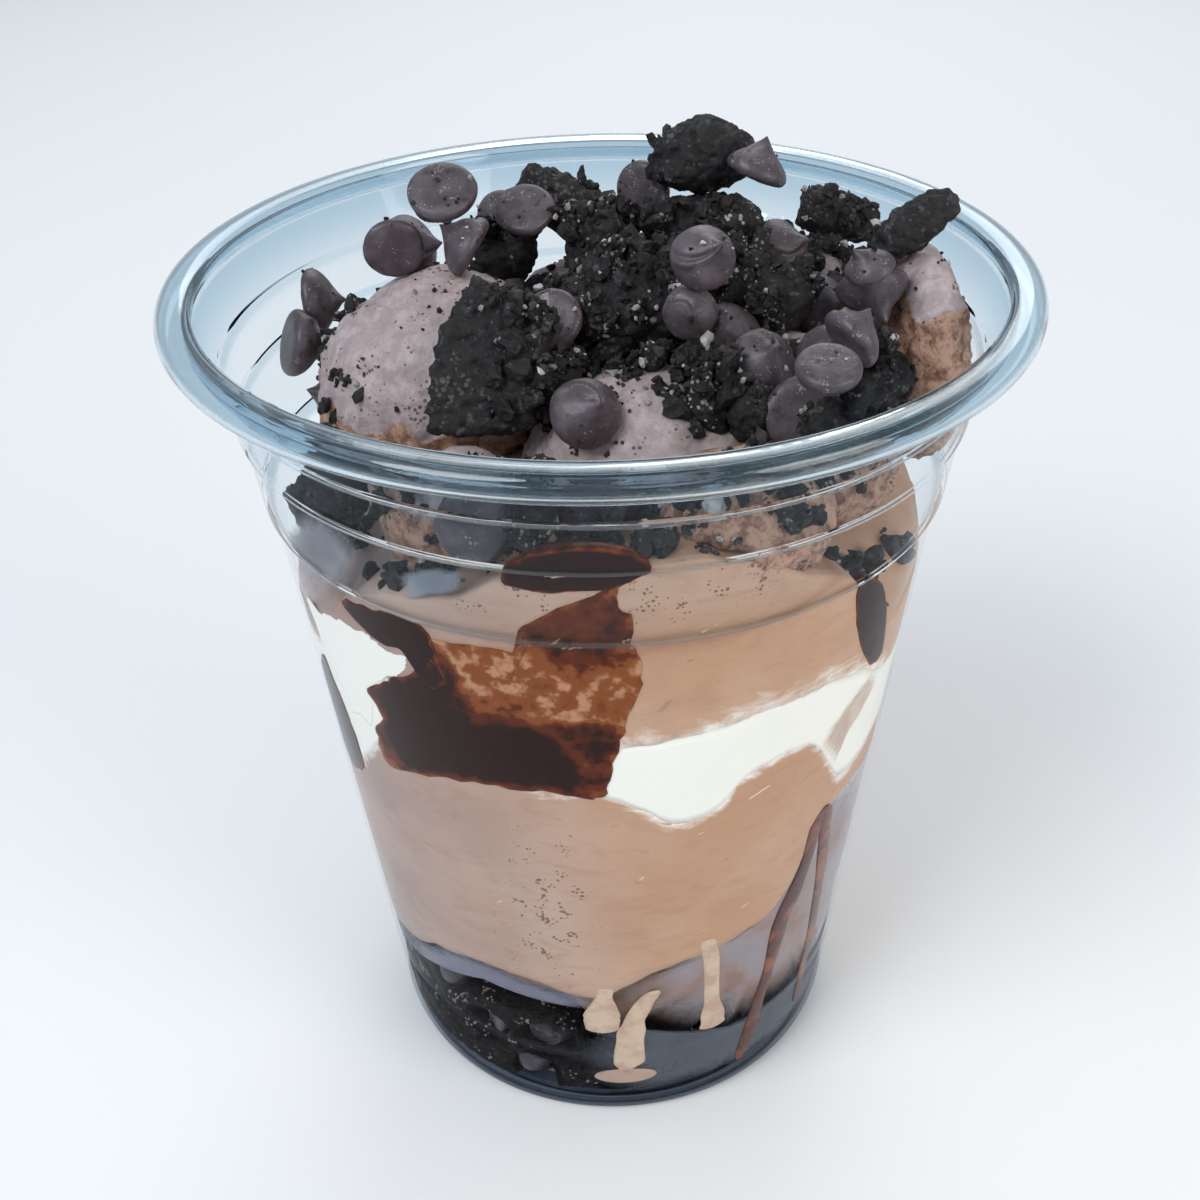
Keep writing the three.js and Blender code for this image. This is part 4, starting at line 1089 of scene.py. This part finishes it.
def drop_pose(name):
    """Middle, axis towards the tip, and width of a drop's node, from its two poles."""
    bm = node_copy(name)
    poles = [vert.co.copy() for vert in bm.verts if len(vert.link_edges) == 7]
    if len(poles) != 2:
        raise RuntimeError(f"{name} has {len(poles)} poles")
    middle = sum((vert.co for vert in bm.verts), Vector()) / len(bm.verts)
    bm.free()
    base, tip = sorted(poles, key=lambda pole: (pole - middle).length)
    size = (tip - base).length / DROP_SPAN
    axis = (tip - base).normalized()
    return base + axis * DROP_MIDDLE * size, axis, size


def turn_drop(bm, middle, axis, spin):
    """Lays a drop in a place with its tip along an axis, spun about it by an angle."""
    turn = axis.to_track_quat("Z", "Y") @ Quaternion((0, 0, 1), spin)
    bmesh.ops.transform(bm, matrix=Matrix.Translation(middle) @ turn.to_matrix().to_4x4(),
                        verts=bm.verts)


def add_to(whole, bm):
    """Moves a bmesh's geometry into another bmesh."""
    holder = bpy.data.meshes.new("part")
    bm.to_mesh(holder)
    bm.free()
    whole.from_mesh(holder)
    bpy.data.meshes.remove(holder)


class SUNDAE_OT_drops(bpy.types.Operator):
    """Moulds each chocolate drop where its node lies"""

    bl_idname = "sundae.drops"
    bl_label = "Chocolate Drops"

    def execute(self, context):
        material = drop_material("chocolate_drop", context.scene.sundae_colours.drop,
                                 srgb(104, 94, 101))
        names = sorted(name for name in frame["nodes"] if name.startswith("drop_"))
        for seed, name in enumerate(names):
            middle, axis, size = drop_pose(name)
            bm = drop_bmesh(size, seed)
            turn_drop(bm, middle, axis, seed * 2.4)
            finish_piece(name + "_look", bm, material, [name])
        return {"FINISHED"}


# Cookies
def crumble(bm, grain, depth, swell=0.15):
    """Gives a solid the granular, pitted face of a broken cookie."""
    def relief(place, normal):
        coarse = (grains(place, grain * 1.7) + 0.7 * grains(place, grain)
                  + 0.45 * grains(place, grain / 2))
        pits = smooth(noise.noise(place / (grain * 1.3) + Vector((7, 0, 0))), 0.15, 0.5)
        return swell + depth * (coarse - 0.9 * pits) + 0.6 * depth * noise.noise(place / (grain * 4))

    push_along_normals(bm, relief)


FILLED_COOKIES = ("cookie_front_filling", "cookie_front_crumbs", "cookie_filling", "cookie_crumbled",
                  "cookie_side_front", "cookie_middle")


class SUNDAE_OT_cookies(bpy.types.Operator):
    """Crumbles the broken cookies"""

    bl_idname = "sundae.cookies"
    bl_label = "Broken Cookies"

    def execute(self, context):
        material = cookie_material()
        voxel = context.scene.sundae_sizes.cookie_detail / MM
        names = sorted(name for name in frame["nodes"]
                       if name.startswith("cookie_") and name != "cookie_heap")
        for name in names:
            bm = remeshed(node_copy(name), voxel)
            crumble(bm, 0.9, 0.42)
            filling = [0.9 if name in FILLED_COOKIES else 0.15] * len(bm.verts)
            piece = finish_piece(name + "_look", bm, material, [name])
            set_attribute(piece, "filling", filling)
        return {"FINISHED"}


# Azimuth, distance from the wall and height of each chocolate drop in the bottom heap, and how far
# its tip is turned out of the wall's direction, in degrees.
HEAP_DROPS = [
    (252.8, 3.3, 13.6, 12), (226, 3.9, 18.3, 80), (249, 4, 6.6, 70), (237, 4, 13.5, -75),
    (145, 3.6, 12, 20), (85, 3.6, 11, 30), (195, 3.7, 12, 60)]
HEAP_DROP_SIZE = 7.3
HEAP_DROP_DENT = 3.2    # how far behind the wall the heap lies round a drop
PRESSED = 1.3           # how far the heap is pressed towards the wall
PRESSED_REACH = 4       # from how far behind the wall on
HOLLOW_REACH = 11       # and where it is drawn away from the wall, at the front right


class SUNDAE_OT_heap(bpy.types.Operator):
    """Makes the crumbled cookies and drops at the bottom of the cup"""

    bl_idname = "sundae.heap"
    bl_label = "Bottom Heap"

    def execute(self, context):
        bm = remeshed(node_copy("cookie_heap"), 0.42)
        middles = [on_wall(azimuth, z, inset) for azimuth, inset, z, _ in HEAP_DROPS]
        nearest = [min((vert.co - middle).length for middle in middles) for vert in bm.verts]
        crumble(bm, 1.0, 0.5, swell=0.1)
        for vert, distance in zip(bm.verts, nearest):
            radius = math.hypot(vert.co.x, vert.co.y)
            inset = inner_radius(vert.co.z) - radius
            azimuth = math.degrees(math.atan2(vert.co.y, vert.co.x)) % 360
            hollow = smooth(azimuth, 262, 275) * (1 - smooth(azimuth, 345, 355))
            reach = mix(PRESSED_REACH, HOLLOW_REACH, hollow)
            if inset < reach:
                rough = 0.7 * noise.noise(vert.co / 3)
                pressed = max(mix(inset - PRESSED, inset * 0.15 + 0.6, hollow) + rough, -INTO_WALL)
                share = smooth(reach - inset, 0, 0.35 * reach)
                dent = HEAP_DROP_DENT * (1 - smooth(distance, 3.4, 4.6))
                vert.co.xy *= (inner_radius(vert.co.z) - max(mix(inset, pressed, share), dent)) / radius
        # A copy in painted shade: dimmer painted highlights for the cookie low in the cup.
        material = cookie_material("cookie_in_the_cup_shaded", 0.1, srgb(44, 42, 45))
        piece = finish_piece("cookie_heap_look", bm, material, ["cookie_heap"])
        set_attribute(piece, "filling", [0.5] * len(piece.data.vertices))

        drops = bmesh.new()
        for seed, ((azimuth, _, _, turned), middle) in enumerate(zip(HEAP_DROPS, middles)):
            heading = math.radians(azimuth + turned)
            axis = Vector((math.cos(heading), math.sin(heading), 0.25))
            drop = drop_bmesh(HEAP_DROP_SIZE, seed + 90)
            turn_drop(drop, middle, axis, seed * 2.4)
            add_to(drops, drop)
        # A darker copy of the drop colours, painted shade for the drops low in the cup.
        finish_piece("heap_drops", drops, drop_material("drop_in_the_cup_shaded", srgb(58, 51, 55),
                                                        srgb(90, 82, 90)))
        return {"FINISHED"}


# Crumbs
def crumb_shapes(count, seed, subdivisions):
    """A few angular crumbs of unit width, as arrays of vertices and faces."""
    chance = random.Random(seed)
    shapes = []
    for i in range(count):
        bm = bmesh.new()
        bmesh.ops.create_icosphere(bm, subdivisions=subdivisions, radius=0.5)
        for vert in bm.verts:
            lump = noise.noise(vert.co * 3 + Vector((i, seed, 0)))
            vert.co *= (1 + 0.7 * lump) * chance.uniform(0.82, 1.15)
        bmesh.ops.scale(bm, vec=(1, chance.uniform(0.6, 1), chance.uniform(0.5, 0.85)), verts=bm.verts)
        bm.verts.index_update()
        shapes.append((np.array([vert.co[:] for vert in bm.verts]),
                       np.array([[vert.index for vert in face.verts] for face in bm.faces])))
        bm.free()
    return shapes


def scattered_mesh(name, entries, seed, subdivisions=1):
    """One mesh of many crumbs, each turned at random, from (place, size) pairs in metres."""
    shapes = crumb_shapes(8, seed, subdivisions)
    chance = np.random.default_rng(seed)
    verts, faces, first = [], [], 0
    for i, (place, size) in enumerate(entries):
        shape, sides = shapes[i % len(shapes)]
        turn = Euler(chance.uniform(0, math.tau, 3)).to_matrix()
        verts.append(shape @ np.array(turn).T * size + np.array(place))
        faces.append(sides + first)
        first += len(shape)
    mesh = bpy.data.meshes.new(name)
    mesh.from_pydata(np.concatenate(verts).tolist(), [], np.concatenate(faces).tolist())
    return mesh


def surface_tree(names):
    """A search tree of the finished pieces with these names, in metres."""
    verts, faces, owners = [], [], []
    for name in names:
        mesh = bpy.data.objects[name].data
        first = len(verts)
        verts.extend(vert.co.copy() for vert in mesh.vertices)
        faces.extend(tuple(first + i for i in polygon.vertices) for polygon in mesh.polygons)
        owners.extend([name] * len(mesh.polygons))
    return BVHTree.FromPolygons(verts, faces), owners


def topping_names():
    return [piece.name for piece in bpy.data.objects if piece.name.endswith("_look")
            and piece.name.startswith(("scoop", "drop", "cookie_"))
            and piece.name != "cookie_heap_look"] + ["upper_ice_cream"]


def inside_cup(place, gap):
    return math.hypot(place.x, place.y) < (inner_radius(place.z / MM) - gap) * MM


# Where crumbled cookie lies between the toppings: x and y of each patch, its radius, how many.
RUBBLE_PATCHES = [
    (2, -2, 10, 90), (12, 9, 10, 80), (-13, 11, 7, 40), (-5, -13, 4, 30), (11, -17, 4.5, 36),
    (3, -36, 6, 44), (15, -35, 5, 30), (-21, -33, 5, 26), (28, -11, 6, 40), (24, 5, 7, 40),
    (31, 17, 5, 26), (1, 14, 7, 50), (-33, -15, 6, 40), (-7, -37, 4, 22), (25, -29, 5, 26),
    (33, -20, 5, 26), (17, -8, 7, 40), (-31, 5, 5, 16), (-8, -18, 5, 16)]


RUBBLE_HEIGHT = 98      # middle height of the lines along which crumbled cookie is laid
RUBBLE_TOP = 0.114      # and how high its pieces may reach, in metres


class SUNDAE_OT_rubble(bpy.types.Operator):
    """Piles crumbled cookie between the toppings"""

    bl_idname = "sundae.rubble"
    bl_label = "Crumbled Cookie"

    def execute(self, context):
        chance = random.Random(11)
        entries = []
        names = topping_names()
        for turn in range(2):
            tree, owners = surface_tree(names)
            for x, y, radius, count in RUBBLE_PATCHES:
                for _ in range(count // 2):
                    reach = radius * math.sqrt(chance.random())
                    heading = chance.uniform(0, math.tau)
                    start = Vector((x + reach * math.cos(heading),
                                    y + reach * math.sin(heading), RUBBLE_HEIGHT)) * MM
                    lean = Vector((chance.uniform(-0.3, 0.3), chance.uniform(-0.5, 0.1),
                                   1)).normalized()
                    place, normal, face, _ = tree.ray_cast(start + lean * 0.05, -lean)
                    if place is None or owners[face].startswith("drop") or not inside_cup(place, 1.8):
                        continue
                    size = MM * clamp(chance.lognormvariate(0.7, 0.4), 1.2, 4.2)
                    if place.z + size > RUBBLE_TOP:
                        continue
                    entries.append((place + normal * size * 0.25, size))
            if turn == 0:
                first = scattered_mesh("first_rubble", entries, 21, 2)
                holder = bpy.data.objects.new("first_rubble", first)
                names = [*names, holder.name]
        bpy.data.objects.remove(bpy.data.objects["first_rubble"])
        piece = place_piece("crumbled_cookie_look", scattered_mesh("crumbled_cookie", entries, 21, 2),
                            cookie_material())
        set_attribute(piece, "filling", [0.5] * len(piece.data.vertices))
        return {"FINISHED"}


CRUMB_REACH = 0.04      # how far from the middle crumbs are aimed, in metres
MOST_TRIES = 60000


class SUNDAE_OT_crumbs(bpy.types.Operator):
    """Scatters cookie crumbs and filling over the scoops and toppings"""

    bl_idname = "sundae.crumbs"
    bl_label = "Crumbs"

    def execute(self, context):
        sizes = context.scene.sundae_sizes
        chance = random.Random(5)
        tree, owners = surface_tree([*topping_names(), "crumbled_cookie_look"])
        dark, pale = [], []
        tries = 0
        while len(dark) < sizes.crumb_count and tries < MOST_TRIES:
            tries += 1
            turn = chance.uniform(0, math.tau)
            reach = CRUMB_REACH * math.sqrt(chance.random())
            target = Vector((reach * math.cos(turn), reach * math.sin(turn), 0.1))
            heading = chance.uniform(0, math.tau)
            rise = chance.uniform(0.5, 1.5)
            away = Vector((math.cos(heading) * math.cos(rise), math.sin(heading) * math.cos(rise),
                           math.sin(rise)))
            place, normal, face, _ = tree.ray_cast(target + away * 0.12, -away)
            if place is None or not inside_cup(place, 1):
                continue
            owner = owners[face]
            near = min(math.hypot(place.x / MM - x, place.y / MM - y) / radius
                       for x, y, radius, _ in RUBBLE_PATCHES)
            patch = noise.noise(place * 140) + 0.6 * noise.noise(place * 420)
            wanted = smooth(patch, -0.05, 0.6) * mix(1, 0.12, smooth(near, 1, 1.6))
            if owner.startswith("drop"):
                wanted = 0.025
            if chance.random() > wanted:
                continue
            size = sizes.crumb_size * chance.lognormvariate(0, 0.45)
            if near > 1.3 or owner.startswith("drop"):
                size *= 0.6
            entry = (place + normal * size * 0.2, size)
            (pale if chance.random() < 0.12 else dark).append(entry)
        for name, entries, colours, seed in (
                ("cookie_crumbs", dark, (srgb(20, 17, 18), srgb(62, 54, 53)), 1),
                ("filling_crumbs", pale, (srgb(140, 130, 126), srgb(196, 190, 188)), 2)):
            place_piece(name, scattered_mesh(name, entries, seed), crumb_material(name, *colours))
        return {"FINISHED"}


# Stage
CAMERA_PLACE = (0, -0.1637, 0.1725)
CAMERA_PITCH = 33.88    # degrees below level
CAMERA_YAW = 0.29
CAMERA_ROLL = -1.36
CAMERA_LENS = 46.08


def area_light(name, place, target, size, power, colour):
    light = bpy.data.lights.new(name, "AREA")
    light.shape = "DISK"
    light.size = size
    light.energy = power
    light.color = colour
    lamp = bpy.data.objects.new(name, light)
    lamp.location = place
    lamp.rotation_euler = (Vector(target) - Vector(place)).to_track_quat("-Z", "Y").to_euler()
    bpy.context.scene.collection.objects.link(lamp)


class SUNDAE_OT_stage(bpy.types.Operator):
    """Sets up the pale floor, the soft light and the camera"""

    bl_idname = "sundae.stage"
    bl_label = "Stage"

    def execute(self, context):
        scene = context.scene
        bm = bmesh.new()
        bmesh.ops.create_grid(bm, x_segments=1, y_segments=1, size=3)
        mesh = bpy.data.meshes.new("floor")
        bm.to_mesh(mesh)
        bm.free()
        material, shader, _ = new_material("floor")
        surface(shader, (0.92, 0.92, 0.92, 1), 0.9)
        mesh.materials.append(material)
        floor = bpy.data.objects.new("floor", mesh)
        scene.collection.objects.link(floor)

        camera = bpy.data.objects.new("camera", bpy.data.cameras.new("camera"))
        camera.data.lens = CAMERA_LENS
        camera.data.clip_start = 0.01
        camera.matrix_world = (Matrix.Translation(CAMERA_PLACE)
                               @ Matrix.Rotation(math.radians(CAMERA_YAW), 4, "Z")
                               @ Matrix.Rotation(math.radians(90 - CAMERA_PITCH), 4, "X")
                               @ Matrix.Rotation(math.radians(CAMERA_ROLL), 4, "Z"))
        scene.collection.objects.link(camera)
        scene.camera = camera

        world = bpy.data.worlds.new("studio")
        world.use_nodes = True
        background = world.node_tree.nodes["Background"]
        background.inputs["Color"].default_value = (0.80, 0.90, 1.0, 1)
        background.inputs["Strength"].default_value = 0.5
        scene.world = world
        scene.view_settings.view_transform = "Standard"
        middle = (0, 0, 0.06)
        area_light("key_left", (-0.45, -0.45, 0.75), middle, 0.5, 4.6, (0.93, 0.97, 1.0))
        area_light("fill_right", (0.6, -0.45, 0.35), middle, 0.5, 2.4, (1.0, 0.93, 0.84))
        area_light("back", (0.1, 0.7, 0.6), middle, 0.6, 1.8, (1.0, 1.0, 1.0))
        return {"FINISHED"}


# Panel and registration
OPERATORS = (SUNDAE_OT_cup, SUNDAE_OT_layers, SUNDAE_OT_fudge, SUNDAE_OT_melt, SUNDAE_OT_heap,
             SUNDAE_OT_scoops, SUNDAE_OT_drops, SUNDAE_OT_cookies, SUNDAE_OT_rubble, SUNDAE_OT_crumbs,
             SUNDAE_OT_stage)


class SUNDAE_PT_panel(bpy.types.Panel):
    """Lists the sundae's pieces, sizes and colours"""

    bl_idname = "SUNDAE_PT_panel"
    bl_label = "Ice Cream Sundae"
    bl_space_type = "VIEW_3D"
    bl_region_type = "UI"
    bl_category = "Sundae"

    def draw(self, context):
        layout = self.layout
        for operator in OPERATORS:
            layout.operator(operator.bl_idname)
        for group in (context.scene.sundae_sizes, context.scene.sundae_colours):
            column = layout.column()
            for key in group.__annotations__:
                column.prop(group, key)


CLASSES = (SundaeSizes, SundaeColours, *OPERATORS, SUNDAE_PT_panel)


def register():
    for cls in CLASSES:
        bpy.utils.register_class(cls)
    bpy.types.Scene.sundae_sizes = bpy.props.PointerProperty(type=SundaeSizes)
    bpy.types.Scene.sundae_colours = bpy.props.PointerProperty(type=SundaeColours)


def unregister():
    del bpy.types.Scene.sundae_colours
    del bpy.types.Scene.sundae_sizes
    for cls in reversed(CLASSES):
        bpy.utils.unregister_class(cls)


def main():
    register()
    bpy.ops.sundae.stage()
    bpy.ops.sundae.cup()
    bpy.ops.sundae.layers()
    bpy.ops.sundae.fudge()
    bpy.ops.sundae.melt()
    bpy.ops.sundae.heap()
    bpy.ops.sundae.scoops()
    bpy.ops.sundae.drops()
    bpy.ops.sundae.cookies()
    bpy.ops.sundae.rubble()
    bpy.ops.sundae.crumbs()


if __name__ == "__main__":
    main()
